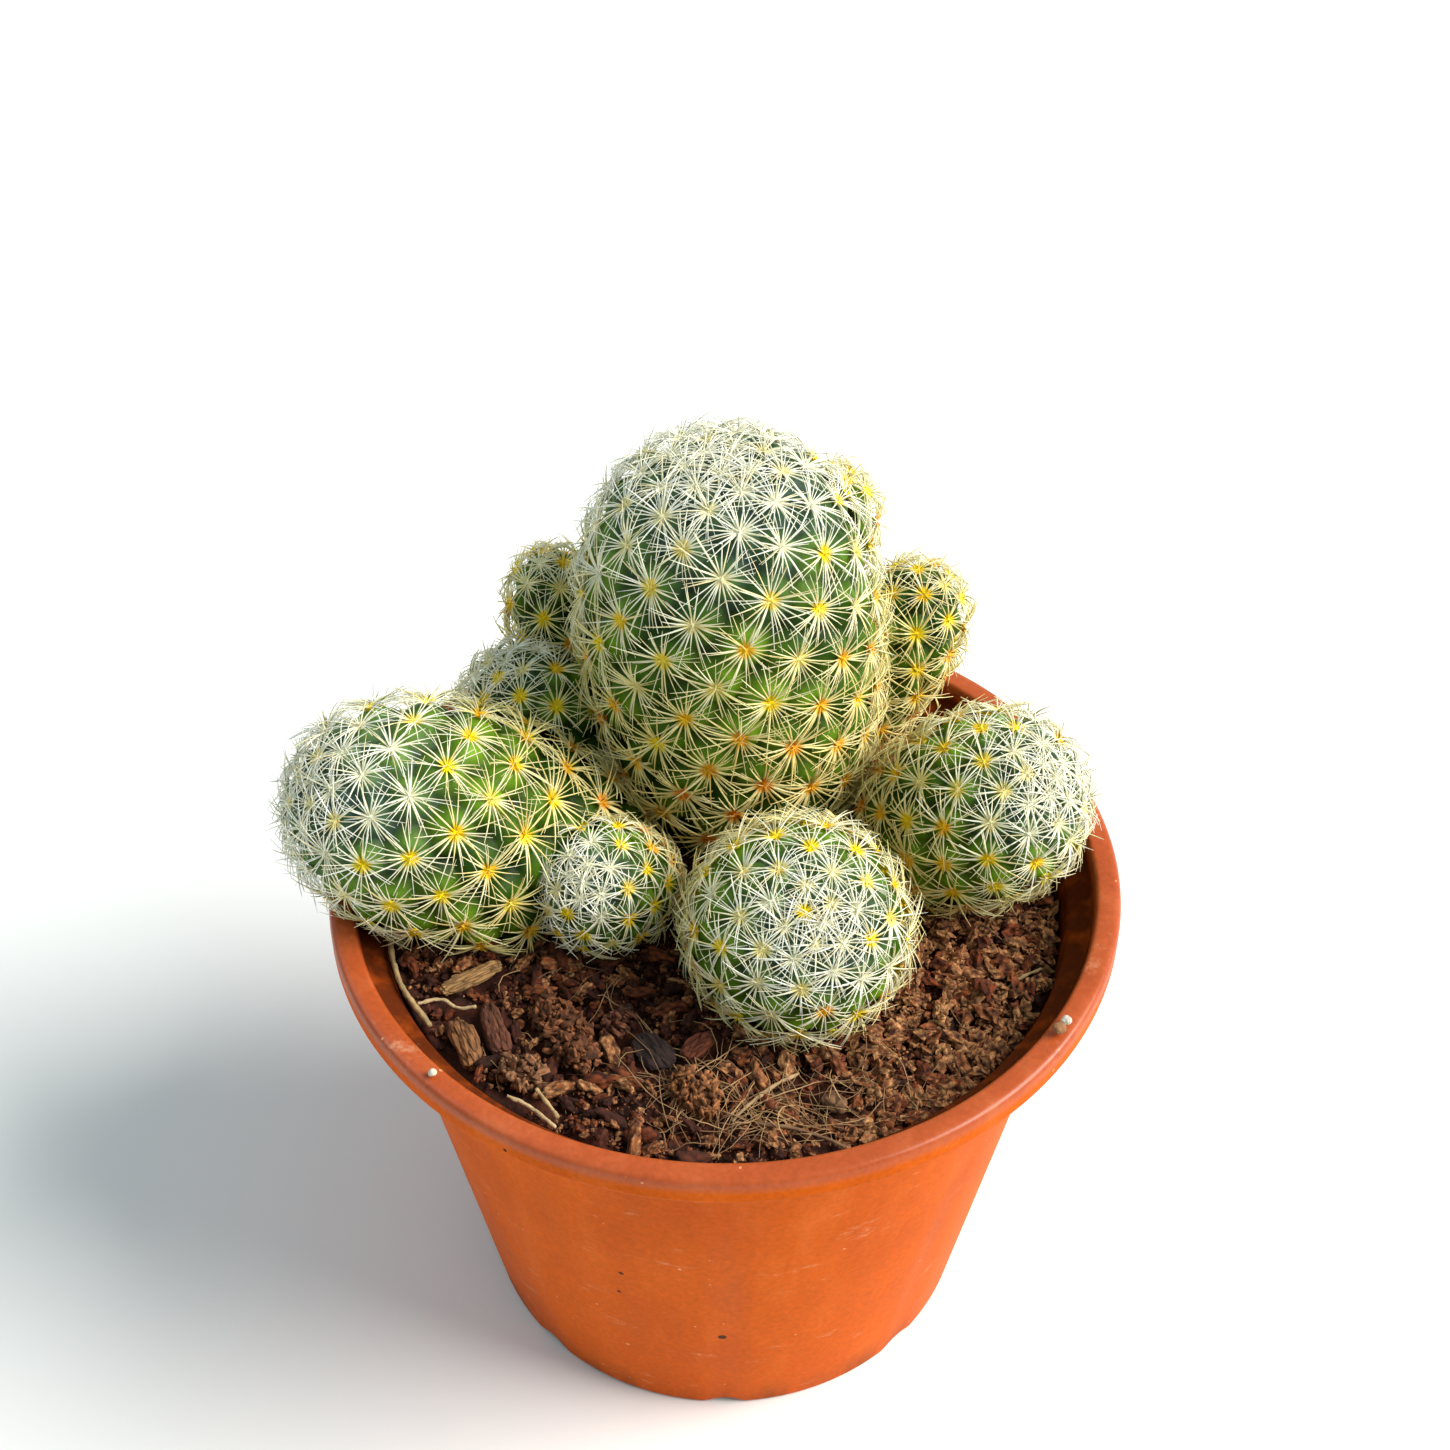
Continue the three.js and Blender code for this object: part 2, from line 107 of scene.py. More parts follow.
def rollDice(tree, seed, names, first=0, step=1):  # a random value from 0 to 1 for each name
    dice = {}
    for number, name in enumerate(names):
        own = addNode(tree, "FunctionNodeIntegerMath", {0: seed, 1: first + step * number}, operation="ADD")
        dice[name] = addNode(tree, "FunctionNodeRandomValue", {"Seed": own}, data_type="FLOAT")
    return dice


def storeAlong(tree, geometry, **values):  # keeps numbers on the geometry, for the materials
    for name, value in values.items():
        geometry = addNode(tree, "GeometryNodeStoreNamedAttribute", {
            "Geometry": geometry, "Name": name, "Value": value}, data_type="FLOAT")
    return geometry


def placeShapes(tree, shapes, points, rotation, size):  # one of a collection's shapes on each point
    each = addNode(tree, "GeometryNodeCollectionInfo", {
        "Collection": shapes, "Separate Children": True, "Reset Children": True})
    return addNode(tree, "GeometryNodeInstanceOnPoints", {
        "Points": points, "Instance": each, "Pick Instance": True, "Rotation": rotation, "Scale": size})


def newMaterial(name, **surface):  # surface sets the shader's own sockets, spaces written as _
    material = bpy.data.materials.new(name)
    material.use_nodes = True
    shader = material.node_tree.nodes["Principled BSDF"]
    for key, value in surface.items():
        shader.inputs[key.replace("_", " ")].default_value = value
    return material, material.node_tree, shader


def newTree(name, **sizes):  # a geometry tree with one named input for each size
    tree = bpy.data.node_groups.new(name, "GeometryNodeTree")
    tree.interface.new_socket("Geometry", in_out="INPUT", socket_type="NodeSocketGeometry")
    for label, kind in sizes.items():
        tree.interface.new_socket(label, in_out="INPUT", socket_type="NodeSocket" + kind)
    tree.interface.new_socket("Geometry", in_out="OUTPUT", socket_type="NodeSocketGeometry")
    return tree, tree.nodes.new("NodeGroupInput").outputs, tree.nodes.new("NodeGroupOutput").inputs[0]


def finishTree(tree, result, geometry, material):
    real = addNode(tree, "GeometryNodeRealizeInstances", {"Geometry": geometry})
    painted = addNode(tree, "GeometryNodeSetMaterial", {"Geometry": real, "Material": material})
    tree.links.new(painted, result)
    return tree


def plainMesh(obj):  # what the modifiers make becomes the object's own mesh
    graph = bpy.context.evaluated_depsgraph_get()
    obj.data = bpy.data.meshes.new_from_object(
        obj.evaluated_get(graph), preserve_all_data_layers=True, depsgraph=graph)
    obj.modifiers.clear()
    return obj


def bakeNodes(obj, tree, **sizes):
    modifier = obj.modifiers.new(tree.name, "NODES")
    modifier.node_group = tree
    for socket in tree.interface.items_tree:
        if socket.in_out == "INPUT" and socket.name in sizes:
            modifier[socket.identifier] = sizes[socket.name]
    return plainMesh(obj)


def newObject(name, vertices, faces=(), edges=(), smooth=True):
    mesh = bpy.data.meshes.new(name)
    mesh.from_pydata(vertices, edges, faces)
    mesh.polygons.foreach_set("use_smooth", [smooth] * len(mesh.polygons))
    obj = bpy.data.objects.new(name, mesh)
    bpy.context.scene.collection.objects.link(obj)
    return obj


def storeValues(obj, name, kind, values):
    attribute = obj.data.attributes.new(name, kind, "POINT")
    flat = [c for v in values for c in v] if kind == "FLOAT_VECTOR" else values
    attribute.data.foreach_set("vector" if kind == "FLOAT_VECTOR" else "value", flat)


def keepPiece(obj, slot, *replaced):
    obj.data.name = obj.name
    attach(obj, "root")
    if replaced:
        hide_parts(*replaced)
    return obj


def turned(name, outline, sides):  # a closed solid of revolution from (radius, height) pairs
    rows = [p for p in outline if p[0] > 0]
    vertices = [Vector((0, 0, outline[0][1]))]
    for radius, height in rows:
        for i in range(sides):
            angle = 2 * math.pi * i / sides
            vertices.append(Vector((radius * math.cos(angle), radius * math.sin(angle), height)))
    vertices.append(Vector((0, 0, outline[-1][1])))
    faces = []
    for i in range(sides):
        after = (i + 1) % sides
        faces.append((0, 1 + after, 1 + i))
        for row in range(len(rows) - 1):
            low = 1 + row * sides
            faces.append((low + i, low + after, low + sides + after, low + sides + i))
        top = 1 + (len(rows) - 1) * sides
        faces.append((top + i, top + after, len(vertices) - 1))
    return newObject(name, vertices, faces)


def rounded(corners, steps=4):  # corners are (radius, height, rounding)
    outline = []
    for i, (x, z, rounding) in enumerate(corners):
        corner = Vector((x, z))
        if not rounding:
            outline.append((x, z))
            continue
        before = corner + (Vector(corners[i - 1][:2]) - corner).normalized() * rounding
        after = corner + (Vector(corners[i + 1][:2]) - corner).normalized() * rounding
        for k in range(steps + 1):
            t = k / steps
            outline.append(tuple(before * (1 - t) ** 2 + corner * 2 * t * (1 - t) + after * t ** 2))
    return outline


def cutAway(obj, cutters):
    for cutter in cutters:
        modifier = obj.modifiers.new("cut", "BOOLEAN")
        modifier.operation = "DIFFERENCE"
        modifier.solver = "MANIFOLD"
        modifier.object = cutter
    return plainMesh(obj)


def ripple(x, y, z, seed):  # the slow unevenness that the CAD soil has
    a = math.sin(1.7 * x + 2.3 * seed) * math.cos(1.3 * y - seed)
    b = math.sin(2.1 * z + 0.9 * x + 4.1 * seed) * math.cos(1.9 * z - 1.1 * y)
    return 0.6 * a + 0.4 * b


# ---- camera, floor and light

studio = {
    "cameraPlace": (0, -0.22142, 0.29604),
    "cameraAim": (0, 0, 0.0984),
    "lens": 58.37,
    "floorSize": 3.0,
    "floorColour": "#ebebeb",
    "sunFrom": (0.77, -0.085, 0.63),  # from the right and a little in front
    "sunPower": 5.4,
    "sunSpread": math.radians(42),
    "sunColour": "#fffaf2",
    "skyColour": "#e1f7f9",
    "skyPower": 0.5,
    "windowFrom": (-0.55, 0.25, 0.75),  # cool light from the upper left, in metres
    "windowPower": 1.0,
    "windowSize": 0.5,
    "windowColour": "#dfe9ff",
}


def makeStudio():
    camera = bpy.data.objects.new("camera", bpy.data.cameras.new("camera"))
    bpy.context.scene.collection.objects.link(camera)
    bpy.context.scene.camera = camera
    camera.data.sensor_width = 36
    camera.data.lens = studio["lens"]
    camera.data.clip_start = 0.01
    camera.location = studio["cameraPlace"]
    aim = Vector(studio["cameraAim"]) - camera.location
    camera.rotation_euler = aim.to_track_quat("-Z", "Y").to_euler()

    half = studio["floorSize"] / 2
    corners = [(-half, -half, 0), (half, -half, 0), (half, half, 0), (-half, half, 0)]
    floor = newObject("floor", corners, [(0, 1, 2, 3)])
    paper, _, shader = newMaterial("matt white paper", Roughness=0.9)
    shader.inputs["Base Color"].default_value = hexColour(studio["floorColour"])
    floor.data.materials.append(paper)

    sun = bpy.data.objects.new("sun", bpy.data.lights.new("sun", "SUN"))
    bpy.context.scene.collection.objects.link(sun)
    sun.data.energy = studio["sunPower"]
    sun.data.angle = studio["sunSpread"]
    sun.data.color = hexColour(studio["sunColour"])[:3]
    sun.rotation_euler = Vector(studio["sunFrom"]).to_track_quat("Z", "Y").to_euler()

    window = bpy.data.objects.new("window", bpy.data.lights.new("window", "AREA"))
    bpy.context.scene.collection.objects.link(window)
    window.data.energy = studio["windowPower"]
    window.data.size = studio["windowSize"]
    window.data.color = hexColour(studio["windowColour"])[:3]
    window.location = studio["windowFrom"]
    window.rotation_euler = Vector(studio["windowFrom"]).to_track_quat("Z", "Y").to_euler()

    sky = bpy.data.worlds.new("sky")
    sky.use_nodes = True
    background = sky.node_tree.nodes["Background"]
    background.inputs["Color"].default_value = hexColour(studio["skyColour"])
    background.inputs["Strength"].default_value = studio["skyPower"]
    bpy.context.scene.world = sky
    bpy.context.scene.view_settings.view_transform = "Standard"


makeStudio()
print("camera, floor and light are set")


# ---- pot

potSizes = {
    "height": 73.5,
    "rimRadius": 52.5,
    "lipInner": 49.2,
    "neckRadius": 47.2,
    "neckHeight": 69.5,
    "ledgeHeight": 68.6,
    "footRadius": 35.2,
    "footWidth": 2.4,
    "wall": 1.2,
    "floorTop": 3.2,
    "padRadius": 7,
    "notches": 8,
    "notchWidth": 5.4,
    "notchHeight": 1.3,
    "notchFade": 2,  # height at which a notch has died out in the wall
    "holeRadius": 2.9,
    "holeCircle": 22,
    "holeSides": 40,
    "sides": 288,
}
potLook = {
    "orange": "#d05b0c",
    "deepOrange": "#be4f0b",
    # painted shade: the top of the rim is made darker and duller than the wall
    "rimTopShade": "#a44a26",
    "rimShadeAndPolish": (2.2, 0.5),  # mm below the top where the rim's painted shade and its polish begin and are full
    "dust": "#c9905f",
    "scuff": "#e8b58d",
    "scuffShare": 0.4,
    "speck": "#4a2415",
    "speckSpots": (6.6667, 0.78, 0.12, 1),  # cell in mm, rarity, largest in cells, strength
    "grit": "#f0b485",
    "gritSpots": (1.9231, 0.8, 0.16, 0.55),
    "splash": "#6b3a1c",  # soil dried on by the foot
    "splashHeight": 7,
    # soil stain and painted shade on the inside of the wall, near the soil
    "soilStainAndShade": "#3c1a10",  # on the inside
    "stainAndShadeHeights": (73.2, 70.8),  # where it begins and is full
    "roughness": 0.46,
    "rimPolish": 0.2,  # how much smoother the top of the rim is
    "wallGloss": 0.025,
    "rimGloss": 0.4,
}


def taper():  # how much the wall widens for each mm of height
    return (potSizes["neckRadius"] - potSizes["footRadius"]) / potSizes["neckHeight"]


def innerRadius(height):
    return potSizes["footRadius"] + taper() * height - potSizes["wall"]


def potOutline():
    s = potSizes
    recess = s["floorTop"] - s["wall"]
    ledge = s["ledgeHeight"]
    corners = [  # radius, height and how far the corner is rounded, from the middle of the underside
        (0, 0, 0),
        (s["padRadius"], 0, 0.3),
        (s["padRadius"] + 0.7, recess, 0.3),
        (s["footRadius"] - s["footWidth"] - 0.7, recess, 0.4),
        (s["footRadius"] - s["footWidth"], 0, 0.5),
        (s["footRadius"], 0, 0.7),
        (s["neckRadius"] - 0.1, s["neckHeight"] - 1.2, 0.8),
        (s["neckRadius"] + 0.9, s["neckHeight"], 0.6),
        (s["rimRadius"], s["neckHeight"], 0.7),
        (s["rimRadius"], s["height"], 1.1),
        (s["lipInner"], s["height"], 0.7),
        (s["lipInner"] - 0.4, ledge + 1.2, 0.8),
        (innerRadius(ledge), ledge + 0.1, 0.6),
        (innerRadius(s["floorTop"]), s["floorTop"], 1),
        (0, s["floorTop"], 0),
    ]
    return [(x * mm, z * mm) for x, z in rounded(corners)]


def notchRise(point):  # how far a drain notch lifts a point of the foot ring
    s = potSizes
    radius = math.hypot(point.x, point.y)
    step = 2 * math.pi / s["notches"]
    turn = (math.atan2(point.y, point.x) + math.pi / 2) / step
    across = (turn - round(turn)) * step * radius / (s["notchWidth"] / 2 * mm)
    inRing = radius > (s["footRadius"] - s["footWidth"] - 0.4) * mm
    share = 1 - point.z / (s["notchFade"] * mm)
    if abs(across) >= 1 or not inRing or share < 0:
        return 0
    return s["notchHeight"] * mm * (1 - across ** 2) * share


def plasticMaterial():
    # Injection-moulded polypropylene: even and slightly waxy, with soft highlights, a thin film
    # of dust, a few scuffs and specks, and soil dried on by the foot. The top of the rim has
    # painted shade, and the inside of the wall has soil stain and painted shade near the soil.
    look, s = potLook, potSizes
    material, tree, shader = newMaterial("moulded terracotta polypropylene", IOR=1.49)
    place = addNode(tree, "ShaderNodeTexCoord", out="Object")
    height = addNode(tree, "ShaderNodeSeparateXYZ", {"Vector": place}, out="Z")
    flat = addNode(tree, "ShaderNodeVectorMath", {0: place, 1: (1, 1, 0)}, operation="MULTIPLY")
    radius = addNode(tree, "ShaderNodeVectorMath", {0: flat}, operation="LENGTH")
    runs = addNode(tree, "ShaderNodeMapping", {"Vector": place, "Scale": (1, 1, 0.22)})
    smears = addNode(tree, "ShaderNodeMapping", {
        "Vector": place, "Rotation": (0.3, 0.2, 0.4), "Scale": (1, 1, 3.2)})
    noises = addNodes(tree, "ShaderNodeTexNoise", noiseKeys, {
        "clouds": (place, waves(23.81), 4),
        "film": (runs, waves(7.692), 5, 0.65),
        "scuffs": (smears, waves(10.526), 6, 0.75),
        "stainAndShade": (place, waves(3.846), 5),
        "grain": (place, waves(0.7143), 3),
        "dents": (place, waves(16.667), 2),
    })
    uneven = addNode(tree, "ShaderNodeMath", {0: noises["grain"], 1: noises["film"]}, operation="ADD")
    begins, full = ((s["height"] - below) * mm for below in look["rimShadeAndPolish"])
    ledge, lip = (s["ledgeHeight"] - 0.4) * mm, (s["lipInner"] + 0.2) * mm
    ramps = addNodes(tree, "ShaderNodeMapRange", rampKeys, {
        "orange": (noises["clouds"], 0.2, 0.55),
        "rimShadeAndPolish": (height, begins, full, 0, 0.85),
        "dust": (noises["film"], 0.5, 0.8, 0, 0.14),
        "scuffs": (noises["scuffs"], 0.61, 0.72, 0, look["scuffShare"]),
        "low": (height, look["splashHeight"] * mm, 0, 0, 0.75),
        "splashes": (noises["film"], 0.42, 0.62),
        "lip": (height, ledge, ledge + 0.1 * mm, 0, lip),
        "stainedAndShaded": (height, *(h * mm for h in look["stainAndShadeHeights"]), 0.2, 1),
        "patchy": (noises["stainAndShade"], -0.1, 0.5, 0, 0.9),
        "mottle": (uneven, 0.7, 1.3, 0.86, 1.14),
        "rough": (noises["film"], 0.3, 0.8, look["roughness"] - 0.04, look["roughness"] + 0.1),
    })

    spots = []  # some of the cells have a spot, as large as their luck above the rarity makes it
    for name in ("speck", "grit"):
        cellSize, rarity, largest, share = look[name + "Spots"]
        cell = addNode(tree, "ShaderNodeTexVoronoi", {"Vector": place, "Scale": waves(cellSize)})
        luck = addNode(tree, "ShaderNodeSeparateColor", {"Color": cell.node.outputs["Color"]})
        reach = addNode(tree, "ShaderNodeMapRange", {"Value": luck, "From Min": rarity, "To Max": largest})
        spot = addNode(tree, "ShaderNodeMath", {0: cell, 1: reach}, operation="LESS_THAN")
        spots.append(addNode(tree, "ShaderNodeMath", {0: spot, 1: share}, operation="MULTIPLY"))
    splashes = addNode(tree, "ShaderNodeMath", {0: ramps["low"], 1: ramps["splashes"]}, operation="MULTIPLY")

    # The soil stain and its painted shade lie wherever the radius is less than that of the middle of the
    # wall or the lip.
    wall = addNode(tree, "ShaderNodeMath", {
        0: height, 1: taper(), 2: (s["footRadius"] - s["wall"] / 2) * mm}, operation="MULTIPLY_ADD")
    edge = addNode(tree, "ShaderNodeMath", {0: wall, 1: ramps["lip"]}, operation="MAXIMUM")
    stainAndShade = addNode(tree, "ShaderNodeMath", {0: radius, 1: edge}, operation="LESS_THAN")
    for part in ("stainedAndShaded", "patchy"):
        stainAndShade = addNode(tree, "ShaderNodeMath", {0: stainAndShade, 1: ramps[part]}, operation="MULTIPLY")

    relief = addNode(tree, "ShaderNodeMath", {
        0: noises["grain"], 1: 0.12, 2: noises["dents"]}, operation="MULTIPLY_ADD")
    shares = {
        "orange": ramps["orange"],
        # painted shade on the top of the rim
        "rimTopShade": ramps["rimShadeAndPolish"],
        "dust": ramps["dust"],
        "scuff": ramps["scuffs"],
        "speck": spots[0],
        "grit": spots[1],
        "splash": splashes,
        # soil stain and painted shade on the inside near the soil
        "soilStainAndShade": stainAndShade,
    }
    coats = [(share, look[over]) for over, share in shares.items()]
    paint(tree, shader, look["deepOrange"], coats, ramps["mottle"], (relief, 0.35, 0.4 * mm))
    rough = addNode(tree, "ShaderNodeMath", {
        0: ramps["rimShadeAndPolish"], 1: -look["rimPolish"], 2: ramps["rough"]}, operation="MULTIPLY_ADD")
    tree.links.new(rough, shader.inputs["Roughness"])
    gloss = addNode(tree, "ShaderNodeMapRange", {
        "Value": ramps["rimShadeAndPolish"], "To Min": look["wallGloss"], "To Max": look["rimGloss"]})
    tree.links.new(gloss, shader.inputs["Specular IOR Level"])
    return material


def makePot():
    pot = turned("nursery_pot", potOutline(), potSizes["sides"])
    for vertex in pot.data.vertices:
        vertex.co.z += notchRise(vertex.co)
    radius, reach = potSizes["holeRadius"] * mm, potSizes["holeCircle"] * mm
    low, high = -1 * mm, 6 * mm  # the drills go right through the floor
    drills = []
    for i in range(potSizes["notches"]):
        outline = [(0, low), (radius, low), (radius, high), (0, high)]
        drill = turned("drill", outline, potSizes["holeSides"])
        angle = 2 * math.pi * i / potSizes["notches"] - math.pi / 2
        drill.data.transform(Matrix.Translation((reach * math.cos(angle), reach * math.sin(angle), 0)))
        drills.append(drill)
    cutAway(pot, drills)
    for drill in drills:
        bpy.data.objects.remove(drill)
    sharpenEdges(pot, 40)
    pot.data.materials.clear()
    pot.data.materials.append(plasticMaterial())
    keepPiece(pot, "pot_plastic", "pot")


def sharpenEdges(obj, degrees):  # smooth shading that stops at real edges
    shape = bmesh.new()
    shape.from_mesh(obj.data)
    for edge in shape.edges:
        edge.smooth = len(edge.link_faces) == 2 and edge.calc_face_angle() < math.radians(degrees)
    shape.to_mesh(obj.data)
    shape.free()


makePot()
print("pot is made")


# ---- stems

# Sizes in mm over the spines, the same as in CAD. neck is the radius at the base as a share of
# the radius, widest is how far up the widest place is, and fullness is how blunt the tip is.
# early is the ripeness, of 1, that the areoles of a slow stem already have at its tip, and radials
# is the number of spines in a star where it isn't the usual one.
stems = {
    "main_stem": dict(base=(3, 22.5, 58), tip=(-1.1, 24, 123.8),
                      radius=21.4, neck=0.62, widest=0.55, fullness=2.6, spacing=7.6, radials=31),
    "front_offset": dict(base=(6.5, -0.2, 59.8), tip=(11.2, -24, 87.7),
                         radius=15.4, neck=0.55, widest=0.6, fullness=2.3, spacing=6.4),
    "left_offset": dict(base=(-15.5, 12.5, 59.4), tip=(-53.8, -5.7, 94.1),
                        radius=17.7, neck=0.7, widest=0.5, fullness=2.3, spacing=7.2),
    "right_offset": dict(base=(22, 15.6, 59.6), tip=(42.6, -0.9, 91),
                         radius=14.2, neck=0.55, widest=0.6, fullness=2.3, spacing=6.1, early=0.05),
    "left_rear_offset": dict(base=(-16, 22, 60), tip=(-31.5, 22, 91.1),
                             radius=12.5, neck=0.6, widest=0.6, fullness=2.2, spacing=6.2, early=0.12),
    "front_left_pup": dict(base=(-11, 8.5, 60), tip=(-19.3, -12.1, 82.4),
                           radius=10.3, neck=0.5, widest=0.6, fullness=2.2, spacing=4.9, radials=20),
    "back_right_offset": dict(base=(11, 33, 60), tip=(31.1, 37.1, 95.2),
                              radius=10.1, neck=0.6, widest=0.6, fullness=2.2, spacing=5.7, early=0.26),
    "back_left_pup": dict(base=(-14, 29, 62), tip=(-26, 35.6, 99.9),
                          radius=9.7, neck=0.6, widest=0.6, fullness=2.2, spacing=5.4, early=0.24),
    "shoulder_pup": dict(base=(7.5, 28.5, 88), tip=(16.3, 34.4, 114.8),
                         radius=8.7, neck=0.6, widest=0.6, fullness=2.2, spacing=5.2, early=0.22),
}
stemBuild = {
    "spineReach": 1.7,  # how far the spines stand out of the flesh
    "rootDepth": 3.5,
    "tipSpacing": 0.42,  # between tubercles at the tip, as a share of the spacing on the flank
    "tipReach": 1.05,
    "clearance": 0.3,
    "overlap": 0.2,  # how far inside a neighbour an areole has to be to be left out
    "youngStar": 0.66,  # size of the stars at the tip, as a share of those on the flank
    "oldStar": 0.3,  # how much wider they are at the foot
    "rimRoomDepth": 7,  # how far below the ledge a leaning stem still gives way to the wall
    "skinGrid": 0.55,
}
skinLook = {
    "tubercleDepth": 0.3,  # share of the spacing
    "crease": 1.6,
    "unevenness": 0.15,  # mm
    # painted shade in the folds, also used for the painted shade low on old stems
    "valley": "#0e1a04",
    "flesh": "#33590e",
    "crown": "#7ca820",
    # painted shade and painted sky reflection near the growing tip
    "tipShadeAndReflection": "#445c58",
    "cork": "#7a6038",
    "pore": 0.35,  # mm
}


def stemRadius(stem, share):
    radius, neck, widest, fullness = (stem[k] for k in ("fleshRadius", "neck", "widest", "fullness"))
    if share < widest:
        return radius * (1 - (1 - neck) * ((widest - share) / widest) ** 2)
    rise = (share - widest) / (1 - widest)
    return radius * max(0, 1 - rise ** fullness) ** (1 / fullness)


def stemOutline(stem, steps):  # from the round root end up to the tip, in mm
    neckRadius = stem["neck"] * stem["fleshRadius"]
    rootSteps = math.ceil(steps / 4)
    outline = []
    for i in range(rootSteps):
        turn = i / rootSteps * math.pi / 2
        outline.append((neckRadius * math.sin(turn), -stemBuild["rootDepth"] * math.cos(turn)))
    for i in range(steps):
        share = math.sin(i / steps * math.pi / 2)
        outline.append((stemRadius(stem, share), share * stem["length"]))
    outline.append((0, stem["length"]))
    return outline


def evenOutline(outline, step):  # the same line with points a step apart
    lengths = [0]
    for a, b in zip(outline, outline[1:]):
        lengths.append(lengths[-1] + math.dist(a, b))
    count = round(lengths[-1] / step)
    even, k = [], 0
    for i in range(count + 1):
        at = lengths[-1] * i / count
        while k < len(lengths) - 2 and lengths[k + 1] < at:
            k += 1
        t = (at - lengths[k]) / (lengths[k + 1] - lengths[k])
        even.append(tuple(p + (q - p) * t for p, q in zip(outline[k], outline[k + 1])))
    return even


def grownOutline(outline, amount):
    grown = [(0, outline[0][1] - amount)]
    for before, at, after in zip(outline, outline[1:], outline[2:]):
        along, up = after[0] - before[0], after[1] - before[1]
        scale = amount / math.hypot(along, up)
        grown.append((at[0] + up * scale, at[1] - along * scale))
    return grown + [(0, outline[-1][1] + amount)]


def prepareStems():
    for name, stem in stems.items():
        base, tip = Vector(stem["base"]), Vector(stem["tip"])
        stem["name"] = name
        stem["fleshRadius"] = stem["radius"] - stemBuild["spineReach"]
        stem.setdefault("early", 0)
        stem["length"] = (tip - base).length - stemBuild["spineReach"]
        turn = zAxis.rotation_difference(tip - base).to_matrix().to_4x4()
        stem["onAxis"] = Matrix.Translation(base * mm) @ turn @ Matrix.Scale(mm, 4)


def depthInStem(stem, place):  # mm inside the flesh, or less than 0 outside
    local = stem["onAxis"].inverted() @ place
    share = local.z / stem["length"]
    across = math.hypot(local.x, local.y)
    if share > 1 or local.z < -stemBuild["rootDepth"]:
        return -1
    return stemRadius(stem, max(0, share)) - across


def starWidth(growth, age):  # as a share of the spacing on the flank
    young = stemBuild["youngStar"]
    return young + (1 - young) * growth + stemBuild["oldStar"] * max(0, age - 0.45)


def areolesOf(stem):  # spots at the tubercle tips, each a golden angle on from the one before
    outline = stemOutline(stem, 400)[::-1]
    cell = math.sqrt(3) / 2
    total = sum(math.dist(a, b) for a, b in zip(outline, outline[1:]))
    travelled = tubercles = found = 0
    spots = []
    for (radiusA, heightA), (radiusB, heightB) in zip(outline, outline[1:]):
        radius, height = (radiusA + radiusB) / 2, (heightA + heightB) / 2
        step = math.dist((radiusA, heightA), (radiusB, heightB))
        travelled += step
        growth = min(1, travelled / (stemBuild["tipReach"] * stem["fleshRadius"]))
        spacing = stem["spacing"] * (stemBuild["tipSpacing"] + (1 - stemBuild["tipSpacing"]) * growth)
        tubercles += 2 * math.pi * radius * step / (cell * spacing ** 2)
        age = stem["early"] + (1 - stem["early"]) * travelled / total
        while tubercles >= found + 0.5:
            turn = Matrix.Rotation(found * goldenAngle, 3, "Z")
            slope = Vector((heightA - heightB, 0, radiusB - radiusA)).normalized()
            spots.append({
                "place": stem["onAxis"] @ (turn @ Vector((radius, 0, height))),
                "outward": (stem["onAxis"].to_3x3() @ (turn @ slope)).normalized(),
                "spacing": spacing * mm,
                "span": stem["spacing"] * starWidth(growth, age) * mm,
                "age": age,
            })
            found += 1
    return spots


def areoleObject(name, spots, seed):
    dice = random.Random(seed)
    obj = newObject(name, [s["place"] for s in spots])
    storeValues(obj, "outward", "FLOAT_VECTOR", [s["outward"] for s in spots])
    storeValues(obj, "spacing", "FLOAT", [s["spacing"] for s in spots])
    storeValues(obj, "span", "FLOAT", [s["span"] for s in spots])
    storeValues(obj, "age", "FLOAT", [s["age"] for s in spots])
    storeValues(obj, "ripe", "FLOAT", [s["age"] + dice.gauss(0.02, 0.1) for s in spots])
    storeValues(obj, "phase", "FLOAT", [dice.uniform(0, math.tau) for _ in spots])
    storeValues(obj, "vigour", "FLOAT", [dice.uniform(0.9, 1.08) for _ in spots])
    return obj


